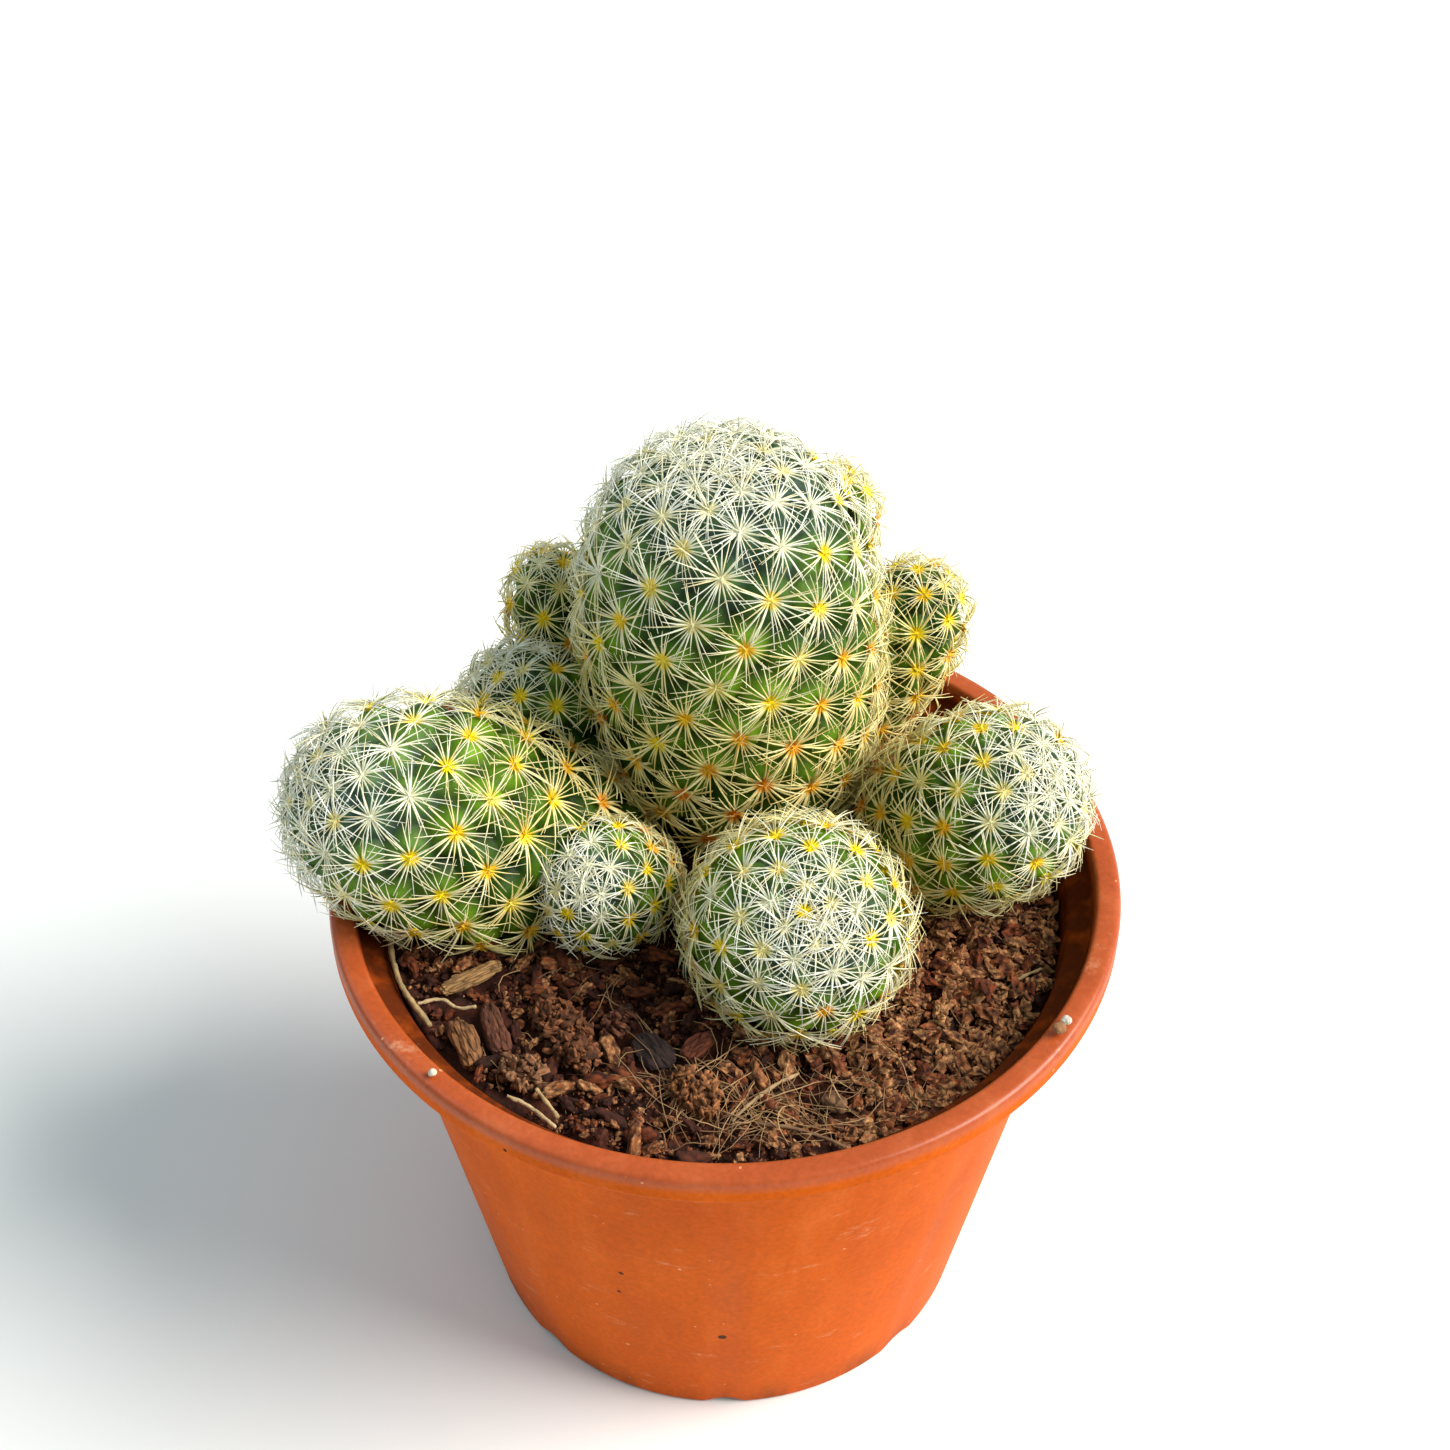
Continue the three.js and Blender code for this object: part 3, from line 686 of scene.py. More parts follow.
def tubercleTree():
    # Sinks the skin between the areoles, so that each of them stands on a rounded tubercle.
    tree, given, result = newTree("tubercles", Areoles="Object", Depth="Float", Crease="Float",
                                  Unevenness="Float", Material="Material")
    spots = addNode(tree, "GeometryNodeObjectInfo", {"Object": given["Areoles"]}, out="Geometry")
    place = addNode(tree, "GeometryNodeInputPosition")
    nearest = addNode(tree, "GeometryNodeSampleNearest", {"Geometry": spots})
    at = {"place": place}
    for name in ("spacing", "age"):
        at[name] = addNode(tree, "GeometryNodeInputNamedAttribute", {"Name": name}, data_type="FLOAT")
    for name, value in at.items():
        at[name] = addNode(tree, "GeometryNodeSampleIndex", {
            "Geometry": spots, "Value": value, "Index": nearest},
            data_type="FLOAT_VECTOR" if name == "place" else "FLOAT")
    distance = addNode(tree, "ShaderNodeVectorMath", {0: place, 1: at["place"]}, operation="DISTANCE")
    share = addNode(tree, "ShaderNodeMath", {0: distance, 1: at["spacing"]}, operation="DIVIDE")
    toEdge = addNode(tree, "ShaderNodeMapRange", {"Value": share, "From Min": 0.05, "From Max": 0.6})
    depth = addNode(tree, "ShaderNodeMath", {0: toEdge, 1: given["Crease"]}, operation="POWER")
    for factor in (at["spacing"], given["Depth"]):
        depth = addNode(tree, "ShaderNodeMath", {0: depth, 1: factor}, operation="MULTIPLY")
    lumps = addNode(tree, "ShaderNodeTexNoise", {"Vector": place, "Scale": waves(2), "Detail": 2})
    uneven = addNode(tree, "ShaderNodeMath", {
        0: lumps, 1: given["Unevenness"], 2: depth}, operation="MULTIPLY_ADD")
    inwards = addNode(tree, "ShaderNodeMath", {0: uneven, 1: -1.0}, operation="MULTIPLY")
    offset = addNode(tree, "ShaderNodeVectorMath", {
        0: addNode(tree, "GeometryNodeInputNormal"), "Scale": inwards}, operation="SCALE")
    # how deep in a fold each place is, for the painted fold shade
    skin = storeAlong(tree, given["Geometry"], valley=toEdge, age=at["age"])
    moved = addNode(tree, "GeometryNodeSetPosition", {"Geometry": skin, "Offset": offset})
    return finishTree(tree, result, moved, given["Material"])


def skinMaterial():
    # Live cactus skin: waxy and softly translucent, yellow-green on the tubercles, with painted shade in
    # the folds and low on old stems, painted shade and a painted grey-blue sky reflection near the
    # growing tip, and cork low on old stems.
    look = skinLook
    material, tree, shader = newMaterial(
        "waxy cactus skin", IOR=1.45, Roughness=0.5, Specular_IOR_Level=0.2, Subsurface_Weight=0.1,
        Subsurface_Radius=(0.5, 1.0, 0.3), Subsurface_Scale=0.0012)
    place = addNode(tree, "ShaderNodeTexCoord", out="Object")
    valley, age = (addNode(tree, "ShaderNodeAttribute", out="Fac", attribute_name=name)
                   for name in ("valley", "age"))
    noises = addNodes(tree, "ShaderNodeTexNoise", noiseKeys, {
        "patches": (place, waves(11.111), 3), "fine": (place, waves(1.1111), 4)})
    old = addNode(tree, "ShaderNodeMath", {0: noises["fine"], 1: 0.25, 2: age}, operation="MULTIPLY_ADD")
    ramps = addNodes(tree, "ShaderNodeMapRange", rampKeys, {
        "bright": (noises["patches"], 0.38, 0.64),
        # painted shade in the folds
        "fold": (valley, 0.38, 1, 0, 0.95),
        # painted shade and painted sky reflection near the growing tip
        "young": (age, 0.3, 0.05, 0, 0.75),
        # painted shade low on old stems
        "lowStemShade": (age, 0.5, 0.8, 0, 0.5),
        "corky": (old, 0.93, 1.12, 0, 0.8),
        "mottle": (noises["fine"], 0, 1, 0.72, 1.28),
    })
    over = {"bright": "crown", "fold": "valley", "young": "tipShadeAndReflection", "lowStemShade": "valley", "corky": "cork"}
    coats = [(ramps[share], look[name]) for share, name in over.items()]
    pores = addNode(tree, "ShaderNodeTexVoronoi", {"Vector": place, "Scale": waves(look["pore"])})
    paint(tree, shader, look["flesh"], coats, ramps["mottle"], (pores, 0.25, 0.1 * mm))
    return material


# ---- spines

spineLook = {
    "radials": 26,
    "centrals": 4,
    "radialShare": 0.74,  # length, as a share of the span
    "radialFloor": 0.5,  # mm added to that
    "centralShare": 0.13,
    "centralFloor": 0.4,
    "lengths": (0.68, 1.18),  # least and most that chance makes of the length
    "thickness": 0.142,  # mm, half the width at the base
    "centralThickness": 1.15,  # times that
    "widths": (0.72, 1.3),
    "oldWidth": 1.75,  # how much thicker spines are low on the stem
    "tipWidth": 0.26,
    "straying": (0.3, 1.4),  # radians that a radial and a central spine may turn from its place
    "bow": 0.2,  # mm that its middle rises
    "droop": 0.45,  # mm that its tip comes down again
    "lift": (5, 26),  # degrees above the skin
    "centralLift": (35, 80),
    "footReach": (0.6, 1.6),  # mm from the areole over which the yellow foot turns pale
    "ivory": "#fdfff4",
    "straw": "#f6e498",
    "tan": "#ebc67a",
    "youngFoot": "#efeccb",
    "yellow": "#ffdf0a",
    "amber": "#fb960c",
    "seed": 7,
}
woolLook = {
    "size": 0.54,  # mm
    "flatness": 0.6,  # height of a tuft, as a share of its radius
    "roughness": 0.25,
    "lumpSize": 5 / 9,  # mm
}


def spineTree():
    # Stars of tapered spines: one set that lies out round each areole, one short set that stands.
    sizes = {}
    for label in ("Radial", "Central"):
        sizes[label + " count"] = "Int"
        for what in ("share", "floor", "thickness", "low", "high"):
            sizes[f"{label} {what}"] = "Float"
    tree, given, result = newTree("spine stars", **sizes, Seed="Int", Material="Material")
    points = addNode(tree, "GeometryNodeMeshToPoints", {"Mesh": given["Geometry"]})
    sets = [spineSet(tree, given, points, label, rank) for rank, label in enumerate(("Radial", "Central"))]
    both = addNode(tree, "GeometryNodeJoinGeometry", {"Geometry": sets})
    return finishTree(tree, result, both, given["Material"])


def spineSet(tree, given, points, label, rank):
    dice = rollDice(tree, given["Seed"], ("turn", "lift", "length", "tone", "width"), first=10 * rank)
    count = given[label + " count"]
    copies = addNode(tree, "GeometryNodeDuplicateElements", {
        "Geometry": points, "Amount": count}, domain="POINT")
    read = {}
    for name in ("outward", "span", "phase", "vigour", "age"):
        read[name] = addNode(tree, "GeometryNodeInputNamedAttribute", {"Name": name},
                             data_type="FLOAT_VECTOR" if name == "outward" else "FLOAT")

    part = addNode(tree, "ShaderNodeMath", {
        0: copies.node.outputs["Duplicate Index"], 1: count}, operation="DIVIDE")
    around = addNode(tree, "ShaderNodeMath", {
        0: part, 1: math.tau, 2: read["phase"]}, operation="MULTIPLY_ADD")
    turn = addNode(tree, "ShaderNodeMath", {
        0: dice["turn"], 1: spineLook["straying"][rank], 2: around}, operation="MULTIPLY_ADD")
    ramps = addNodes(tree, "ShaderNodeMapRange", rampKeys, {
        "lift": (dice["lift"], 0, 1, given[label + " low"], given[label + " high"]),
        "variety": (dice["length"], 0, 1, *spineLook["lengths"]),
        "coarse": (dice["width"], 0, 1, *spineLook["widths"]),
        "older": (read["age"], 0.35, 0.8, 1, spineLook["oldWidth"]),
    })
    down = addNode(tree, "ShaderNodeMath", {0: ramps["lift"], 1: -1.0}, operation="MULTIPLY")
    rotation = addNode(tree, "FunctionNodeAlignRotationToVector", {"Vector": read["outward"]}, axis="Z")
    for axis, angle in (((0, 0, 1), turn), ((0, 1, 0), down)):
        by = addNode(tree, "FunctionNodeAxisAngleToRotation", {"Axis": axis, "Angle": angle})
        rotation = addNode(tree, "FunctionNodeRotateRotation", {0: rotation, 1: by}, rotation_space="LOCAL")

    length = addNode(tree, "ShaderNodeMath", {
        0: read["span"], 1: given[label + " share"], 2: given[label + " floor"]}, operation="MULTIPLY_ADD")
    vigour = addNode(tree, "ShaderNodeMath", {0: ramps["variety"], 1: read["vigour"]}, operation="MULTIPLY")
    grown = addNode(tree, "ShaderNodeMath", {0: length, 1: vigour}, operation="MULTIPLY")
    width = ramps["coarse"]
    for factor in (ramps["older"], given[label + " thickness"]):
        width = addNode(tree, "ShaderNodeMath", {0: width, 1: factor}, operation="MULTIPLY")
    scale = addNode(tree, "ShaderNodeCombineXYZ", {"X": grown, "Y": width, "Z": width})

    # One spine as long as 1 and as thick as 2, so that the two sizes can be set apart.
    line = addNode(tree, "GeometryNodeCurveQuadraticBezier", {
        "Resolution": 4, "Start": (0.05, 0, 0), "Middle": (0.5, 0, 0), "End": (1, 0, 0)})
    along = addNode(tree, "GeometryNodeSplineParameter")
    thinning = addNode(tree, "ShaderNodeMapRange", {
        "Value": along, "From Min": 0.1, "To Min": 1.0, "To Max": spineLook["tipWidth"]})
    section = addNode(tree, "GeometryNodeCurvePrimitiveCircle", {"Resolution": 3, "Radius": 1.0})
    straight = addNode(tree, "GeometryNodeCurveToMesh", {
        "Curve": storeAlong(tree, line, along=along), "Profile Curve": section,
        "Scale": thinning, "Fill Caps": True})
    x = addNode(tree, "ShaderNodeSeparateXYZ", {0: addNode(tree, "GeometryNodeInputPosition")}, out="X")
    bow, droop = (spineLook[k] / spineLook["thickness"] for k in ("bow", "droop"))
    slope = addNode(tree, "ShaderNodeMath", {
        0: x, 1: -4 * bow - droop, 2: 4 * bow}, operation="MULTIPLY_ADD")
    height = addNode(tree, "ShaderNodeMath", {0: slope, 1: x}, operation="MULTIPLY")
    bent = addNode(tree, "GeometryNodeSetPosition", {
        "Geometry": straight, "Offset": addNode(tree, "ShaderNodeCombineXYZ", {"Z": height})})
    smooth = addNode(tree, "GeometryNodeSetShadeSmooth", {"Geometry": bent})

    marked = storeAlong(tree, copies, tone=dice["tone"], reach=grown)
    return addNode(tree, "GeometryNodeInstanceOnPoints", {
        "Points": marked, "Instance": smooth, "Rotation": rotation, "Scale": scale})


def woolTree():
    # A small tuft of wool at the foot of each star.
    tree, given, result = newTree("areole wool", Size="Float", Rough="Float", Material="Material")
    points = addNode(tree, "GeometryNodeMeshToPoints", {"Mesh": given["Geometry"]})
    outward = addNode(tree, "GeometryNodeInputNamedAttribute", {"Name": "outward"}, data_type="FLOAT_VECTOR")
    upright = addNode(tree, "FunctionNodeAlignRotationToVector", {"Vector": outward}, axis="Z")
    tuft = addNode(tree, "GeometryNodeMeshUVSphere", {"Segments": 8, "Rings": 5, "Radius": 1.0})
    low = addNode(tree, "GeometryNodeTransform", {
        "Geometry": tuft, "Scale": (1, 1, woolLook["flatness"])})
    smooth = addNode(tree, "GeometryNodeSetShadeSmooth", {"Geometry": low})
    tufts = addNode(tree, "GeometryNodeInstanceOnPoints", {
        "Points": points, "Instance": smooth, "Rotation": upright, "Scale": given["Size"]})
    real = addNode(tree, "GeometryNodeRealizeInstances", {"Geometry": tufts})
    lumps = addNode(tree, "ShaderNodeTexNoise", {
        "Scale": waves(woolLook["lumpSize"]), "Detail": 1}, out="Color")
    centred = addNode(tree, "ShaderNodeVectorMath", {0: lumps, 1: (0.5, 0.5, 0.5)}, operation="SUBTRACT")
    rough = addNode(tree, "ShaderNodeVectorMath", {0: centred, "Scale": given["Rough"]}, operation="SCALE")
    moved = addNode(tree, "GeometryNodeSetPosition", {"Geometry": real, "Offset": rough})
    return finishTree(tree, result, moved, given["Material"])


def ripening(tree):  # pale while young, then lemon yellow, then amber
    age = addNode(tree, "ShaderNodeAttribute", out="Fac", attribute_name="ripe")
    colour = hexColour(spineLook["youngFoot"])
    for over, start, end in (("yellow", 0.14, 0.3), ("amber", 0.34, 0.7)):
        share = addNode(tree, "ShaderNodeMapRange", {"Value": age, "From Min": start, "From Max": end})
        colour = addNode(tree, "ShaderNodeMix", {
            0: share, 6: colour, 7: hexColour(spineLook[over])}, data_type="RGBA")
    return colour


def spineMaterial():
    # Dry spine: hard, smooth and a little translucent, ivory to straw with a yellow foot that
    # turns amber with age. Some are tan all along.
    look = spineLook
    material, tree, shader = newMaterial(
        "ivory cactus spine", IOR=1.5, Roughness=0.38, Subsurface_Weight=0.25,
        Subsurface_Radius=(1.0, 0.85, 0.6), Subsurface_Scale=0.0004)
    along, age, tone, reach = (addNode(tree, "ShaderNodeAttribute", out="Fac", attribute_name=name)
                               for name in ("along", "age", "tone", "reach"))
    aged = addNodes(tree, "ShaderNodeMapRange", rampKeys, {
        "golden": (age, 0.15, 0.45, 0, 0.8), "tan": (age, 0.35, 0.8, 0, 0.3)})
    golden = addNode(tree, "ShaderNodeMath", {0: tone, 1: 0.5, 2: aged["golden"]}, operation="MULTIPLY_ADD")
    tanner = addNode(tree, "ShaderNodeMath", {0: tone, 1: aged["tan"]}, operation="ADD")
    tan = addNode(tree, "ShaderNodeMapRange", {
        "Value": tanner, "From Min": 0.86, "From Max": 1.1, "To Max": 0.85})
    distance = addNode(tree, "ShaderNodeMath", {0: along, 1: reach}, operation="MULTIPLY")
    near, far = (place * mm for place in look["footReach"])
    foot = addNode(tree, "ShaderNodeMapRange", {
        "Value": distance, "From Min": far, "From Max": near}, interpolation_type="SMOOTHSTEP")
    paint(tree, shader, look["ivory"], [(golden, look["straw"]), (tan, look["tan"]), (foot, ripening(tree))])
    return material


def woolMaterial():
    # Areole wool: matt felted hair, cream while young and stained amber later.
    material, tree, shader = newMaterial("felted areole wool", Roughness=0.95, IOR=1.4, Sheen_Weight=0.4)
    place = addNode(tree, "ShaderNodeTexCoord", out="Object")
    fibre = addNode(tree, "ShaderNodeTexNoise", {"Vector": place, "Scale": waves(0.25), "Detail": 3})
    shade = addNode(tree, "ShaderNodeMapRange", {"Value": fibre, "To Min": 0.9, "To Max": 1.4})
    paint(tree, shader, ripening(tree), shade=shade, relief=(fibre, 0.6, 0.1 * mm))
    return material


def rimRoom():  # the rim and its ledge, which a leaning stem gives way to
    s, gap = potSizes, stemBuild["clearance"]
    inner, outer = innerRadius(s["ledgeHeight"]) - gap, s["rimRadius"] + gap
    lip, ledge, top = s["lipInner"] - gap, s["ledgeHeight"], s["height"] + gap
    low = ledge - stemBuild["rimRoomDepth"]
    ring = [(innerRadius(low) - gap, low), (outer, low), (outer, top), (lip, top),
            (lip - 0.3, ledge + 1.8 + gap), (lip - 1, ledge + 0.8 + 2 * gap), (inner, ledge + gap)]
    vertices, faces, sides = [], [], 96
    for i in range(sides):
        angle = math.tau * i / sides
        vertices += [(r * mm * math.cos(angle), r * mm * math.sin(angle), z * mm) for r, z in ring]
    count = len(ring)
    for i in range(sides):
        here, there = i * count, (i + 1) % sides * count
        for k in range(count):
            after = (k + 1) % count
            faces.append((here + k, there + k, there + after, here + after))
    return newObject("rim_room", vertices, faces)


def roomOf(stem, steps=40, sides=64):
    outline = grownOutline(stemOutline(stem, steps), stemBuild["clearance"])
    room = turned(stem["name"] + "_room", outline, sides)
    room.data.transform(stem["onAxis"])
    return room


def starInputs(stem):  # what the spine tree is given for the two sets of a stem's stars
    look = spineLook
    kinds = {
        "Radial": (stem.get("radials", look["radials"]), look["radialShare"], look["radialFloor"],
                   1, look["lift"]),
        "Central": (look["centrals"], look["centralShare"], look["centralFloor"],
                    look["centralThickness"], look["centralLift"]),
    }
    sizes = {}
    for label, (count, share, floor, thicker, (low, high)) in kinds.items():
        sizes |= {
            label + " count": count,
            label + " share": share,
            label + " floor": floor * mm,
            label + " thickness": look["thickness"] * mm * thicker,
            label + " low": math.radians(low),
            label + " high": math.radians(high),
        }
    return sizes


def makeStems():
    prepareStems()
    look = spineLook
    tubercles, stars, wool = tubercleTree(), spineTree(), woolTree()
    skin, spine, felt = skinMaterial(), spineMaterial(), woolMaterial()
    rooms = [rimRoom()]
    for number, (name, stem) in enumerate(stems.items()):
        spots = areolesOf(stem)
        everySpot = areoleObject("areoles", spots, number)
        outline = evenOutline(stemOutline(stem, 300), stemBuild["skinGrid"])
        sides = round(2 * math.pi * stem["fleshRadius"] / stemBuild["skinGrid"])
        body = turned(name + "_skin", outline, sides)
        body.data.transform(stem["onAxis"])
        bakeNodes(body, tubercles, Areoles=everySpot, Depth=skinLook["tubercleDepth"],
                  Crease=skinLook["crease"], Unevenness=skinLook["unevenness"] * mm, Material=skin)
        cutAway(body, rooms)
        body.data.materials.clear()
        body.data.materials.append(skin)
        keepPiece(body, "stem_flesh", name)

        bare = [s for s in spots if isOpen(s, stem)]
        star = areoleObject(name + "_spines", bare, look["seed"] + number)
        tuft = areoleObject(name + "_wool", bare, look["seed"] + number)
        bakeNodes(star, stars, Seed=look["seed"] + 100 * number, Material=spine, **starInputs(stem))
        bakeNodes(tuft, wool, Size=woolLook["size"] * mm, Rough=woolLook["roughness"] * mm, Material=felt)
        keepPiece(star, "spine")
        keepPiece(tuft, "spine")
        bpy.data.objects.remove(everySpot)
        rooms.append(roomOf(stem))
        print(name, len(spots), "areoles", len(bare), "open", len(star.data.polygons), "spine faces")
    return rooms


def isOpen(spot, stem):  # not buried in a neighbour or in the soil
    place = spot["place"]
    if place.z < soilHeight(place.x / mm, place.y / mm) * mm:
        return False
    others = [other for other in stems.values() if other is not stem]
    return all(depthInStem(other, place) < -stemBuild["overlap"] for other in others)


# ---- soil

soilBuild = {
    "level": 67,
    "slope": -0.034,
    "ripple": 0.45,
    "rippleScale": 0.16,
    "sides": 300,
    "rings": 60,
    "relief": 1.4,
    "bedDrop": 1.0,  # from the lumps down to the bed under them
    "bottom": 3.5,
    "gap": 0.3,  # between the soil and the pot's wall
    "fringe": 16,  # mm over which the kinds of the left and of the right side of the pot mix
    "fringeMiddle": 8,  # mm to the right of the pot's middle
}
soilLook = {
    "dark": "#2a0f06",
    "brown": "#4d200e",
    "red": "#94471e",
    "tan": "#d6a06a",
}


def soilHeight(x, y):  # mm
    s, scale = soilBuild, soilBuild["rippleScale"]
    return s["level"] + s["slope"] * x + s["ripple"] * ripple(scale * x, scale * y, 0, 1)


def roughSoil(place):  # the same surface with its lumps, in metres
    x, y = place.x / mm, place.y / mm
    place = Vector((x * 0.22, y * 0.22, 3.1))  # lumps of 4.5 mm
    lumps = noise.fractal(place, 0.8, 2.1, 4)
    return (soilHeight(x, y) + soilBuild["relief"] * (lumps - 0.25)) * mm


def makeSoil(rooms):
    s = soilBuild
    edge = innerRadius(s["level"]) - s["gap"]
    outline = [(0, s["bottom"]), (innerRadius(s["bottom"]) - 1.9, s["bottom"])]
    outline += [(innerRadius(h) - s["gap"], h) for h in (s["bottom"] + 1.6, 20, 40, s["level"] - 3)]
    outline += [(edge * (1 - i / s["rings"]), s["level"]) for i in range(s["rings"])] + [(0, s["level"])]
    plug = turned("soil_bed", [(x * mm, z * mm) for x, z in outline], s["sides"])
    for vertex in plug.data.vertices:
        if vertex.co.z > (s["level"] - 1) * mm:
            pits = noise.fractal(vertex.co * 900, 0.9, 2, 3)  # of about 1 mm
            vertex.co.z = roughSoil(vertex.co) + (0.5 * pits - s["bedDrop"]) * mm
    material = soilMaterial()
    cutAway(plug, rooms)
    plug.data.materials.clear()
    plug.data.materials.append(material)
    keepPiece(plug, "coir_soil", "potting_soil")
    return material


def soilMaterial():
    # Damp coir and fine bark: matt, from near black in the gaps to tan where a crumb has dried, with painted
    # shade in the pits of the lumps.
    look = soilLook
    material, tree, shader = newMaterial("damp coir crumbs", Roughness=0.88, IOR=1.4)
    place = addNode(tree, "ShaderNodeTexCoord", out="Object")
    tone, pit = (addNode(tree, "ShaderNodeAttribute", out="Fac", attribute_name=name)
                 for name in ("tone", "pit"))
    noises = addNodes(tree, "ShaderNodeTexNoise", noiseKeys, {
        "coarse": (place, waves(3.846), 5, 0.7), "fine": (place, waves(0.625), 4, 0.7)})
    ramps = addNodes(tree, "ShaderNodeMapRange", rampKeys, {
        "brown": (noises["coarse"], 0.38, 0.62),
        "red": (tone, 0.25, 0.7),
        "dry": (tone, 0.6, 1),
        "fleck": (noises["fine"], 0.4, 0.62, 0.15, 1),
        "shade": (noises["fine"], 0, 1, 0.55, 1.4),
    })
    dry = addNode(tree, "ShaderNodeMath", {0: ramps["dry"], 1: ramps["fleck"]}, operation="MULTIPLY")
    # the dark coat laid by pit is painted shade in the pits of the lumps
    shares = {"brown": ramps["brown"], "red": ramps["red"], "tan": dry, "dark": pit}
    coats = [(share, look[over]) for over, share in shares.items()]
    paint(tree, shader, look["dark"], coats, ramps["shade"], (noises["fine"], 0.8, 0.4 * mm))
    return material


# Each kind has a number of shapes made at their real size (half of length, width and height in
# mm), which are then strewn at so many for each mm2 of the open surface. wide is how uneven they
# are, knob and cell are the height and size of their knobs, and side is the part of the pot they
# lie in: -1 left, 1 right, 0 everywhere.
lumpKinds = {
    "clods": dict(shapes=9, detail=3, half=(2.4, 0.95, 0.85), wide=0.45, knob=0.6, cell=0.9,
                  count=0.075, sizes=(0.5, 1.25), side=-1, sink=-0.5, bright=0.1, seed=3),
    "flakes": dict(shapes=9, detail=2, half=(1.2, 0.75, 0.55), wide=0.9, knob=0.45, cell=0.7,
                   count=0.7, sizes=(0.35, 1.35), side=1, sink=-0.4, bright=0.5, seed=4),
    "crumbs": dict(shapes=8, detail=2, half=(0.8, 0.62, 0.55), wide=0.6, knob=0.4, cell=0.6,
                   count=0.48, sizes=(0.45, 1.3), side=0, sink=0.1, bright=0.1, seed=5),
    "grains": dict(shapes=6, detail=1, half=(0.4, 0.3, 0.24), wide=0.6, knob=0.1, cell=0.4,
                   count=2.0, sizes=(0.5, 1.4), side=0, sink=0.3, bright=0, seed=6),
}
tilt = math.radians(32)  # the most that a lump leans


def lumpShape(name, kind, seed):
    shape = bmesh.new()
    bmesh.ops.create_icosphere(shape, subdivisions=kind["detail"], radius=1)
    half = Vector(kind["half"])
    start = Vector((seed * 3.7, seed * 1.9, 0))
    pits = []
    for vertex in shape.verts:
        unit = vertex.co.normalized()
        out = Vector(u / h for u, h in zip(unit, half)).normalized()
        place = unit * (1 + kind["wide"] * noise.fractal(unit * 1.1 + start, 0.8, 2.2, 3)) * half
        pit = noise.voronoi(place / kind["cell"] + start)[0][0]
        vertex.co = (place + out * kind["knob"] * (0.4 - pit)) * mm
        # how deep in a pit each place is, where the soil material paints shade
        pits.append(min(1, max(0, (pit - 0.25) / 0.45)))
    mesh = bpy.data.meshes.new(name)
    shape.to_mesh(mesh)
    shape.free()
    mesh.polygons.foreach_set("use_smooth", [kind["detail"] > 2] * len(mesh.polygons))
    obj = bpy.data.objects.new(name, mesh)
    storeValues(obj, "pit", "FLOAT", pits)
    return obj


def scatterTree():
    # Lumps of several shapes strewn over the open soil, lying nearly flat in any direction.
    tree, given, result = newTree("strewn lumps", Shapes="Collection", Density="Float", Small="Float",
                                  Large="Float", Sink="Float", Tilt="Float", Bright="Float",
                                  Seed="Int", Material="Material")
    free = addNode(tree, "GeometryNodeInputNamedAttribute", {"Name": "free"}, data_type="FLOAT")
    density = addNode(tree, "ShaderNodeMath", {0: free, 1: given["Density"]}, operation="MULTIPLY")
    points = addNode(tree, "GeometryNodeDistributePointsOnFaces", {
        "Mesh": given["Geometry"], "Density": density, "Seed": given["Seed"]})
    dice = rollDice(tree, given["Seed"], ("size", "tone", "around", "nod", "roll"), step=20)
    tiltBack, sink = (addNode(tree, "ShaderNodeMath", {0: given[name], 1: -1.0}, operation="MULTIPLY")
                      for name in ("Tilt", "Sink"))
    around = addNode(tree, "ShaderNodeMath", {0: dice["around"], 1: math.tau}, operation="MULTIPLY")
    mostlySmall = addNode(tree, "ShaderNodeMath", {0: dice["size"], 1: 1.7}, operation="POWER")
    ramps = addNodes(tree, "ShaderNodeMapRange", rampKeys, {
        "nod": (dice["nod"], 0, 1, tiltBack, given["Tilt"]),
        "roll": (dice["roll"], 0, 1, tiltBack, given["Tilt"]),
        "size": (mostlySmall, 0, 1, given["Small"], given["Large"]),
    })
    turn = addNode(tree, "ShaderNodeCombineXYZ", {"X": ramps["nod"], "Y": ramps["roll"], "Z": around})
    rotation = addNode(tree, "FunctionNodeEulerToRotation", {0: turn})
    tone = addNode(tree, "ShaderNodeMath", {0: dice["tone"], 1: given["Bright"]}, operation="ADD")
    marked = storeAlong(tree, points, tone=tone)
    down = addNode(tree, "ShaderNodeCombineXYZ", {"Z": sink})
    sunk = addNode(tree, "GeometryNodeSetPosition", {"Geometry": marked, "Offset": down})
    lumps = placeShapes(tree, given["Shapes"], sunk, rotation, ramps["size"])
    return finishTree(tree, result, lumps, given["Material"])


def soilTop(name, side, crowded):  # the open surface, with how free each place is
    edge = (innerRadius(soilBuild["level"]) - 1.0) * mm
    rings, sides = 60, 180
    vertices, faces = [], []
    for ring in range(rings):
        radius = edge * (1 - ring / rings)
        for i in range(sides):
            angle = math.tau * i / sides
            place = Vector((radius * math.cos(angle), radius * math.sin(angle), 0))
            vertices.append(Vector((place.x, place.y, roughSoil(place))))
    for row in range(rings - 1):
        low = row * sides
        for i in range(sides):
            after = (i + 1) % sides
            faces.append((low + i, low + after, low + sides + after, low + sides + i))
    top = newObject(name, vertices, faces)
    free = []
    for place in vertices:
        bare = all(depthInStem(stem, place) < 0.3 for stem in stems.values())
        beside = crowded.find_nearest(place)[3] > 1.1 * mm
        past = side * (place.x / mm - soilBuild["fringeMiddle"]) / soilBuild["fringe"]
        half = min(1, max(0, 0.5 + past)) if side else 1
        free.append(float(bare and beside) * half)
    storeValues(top, "free", "FLOAT", free)
    return top


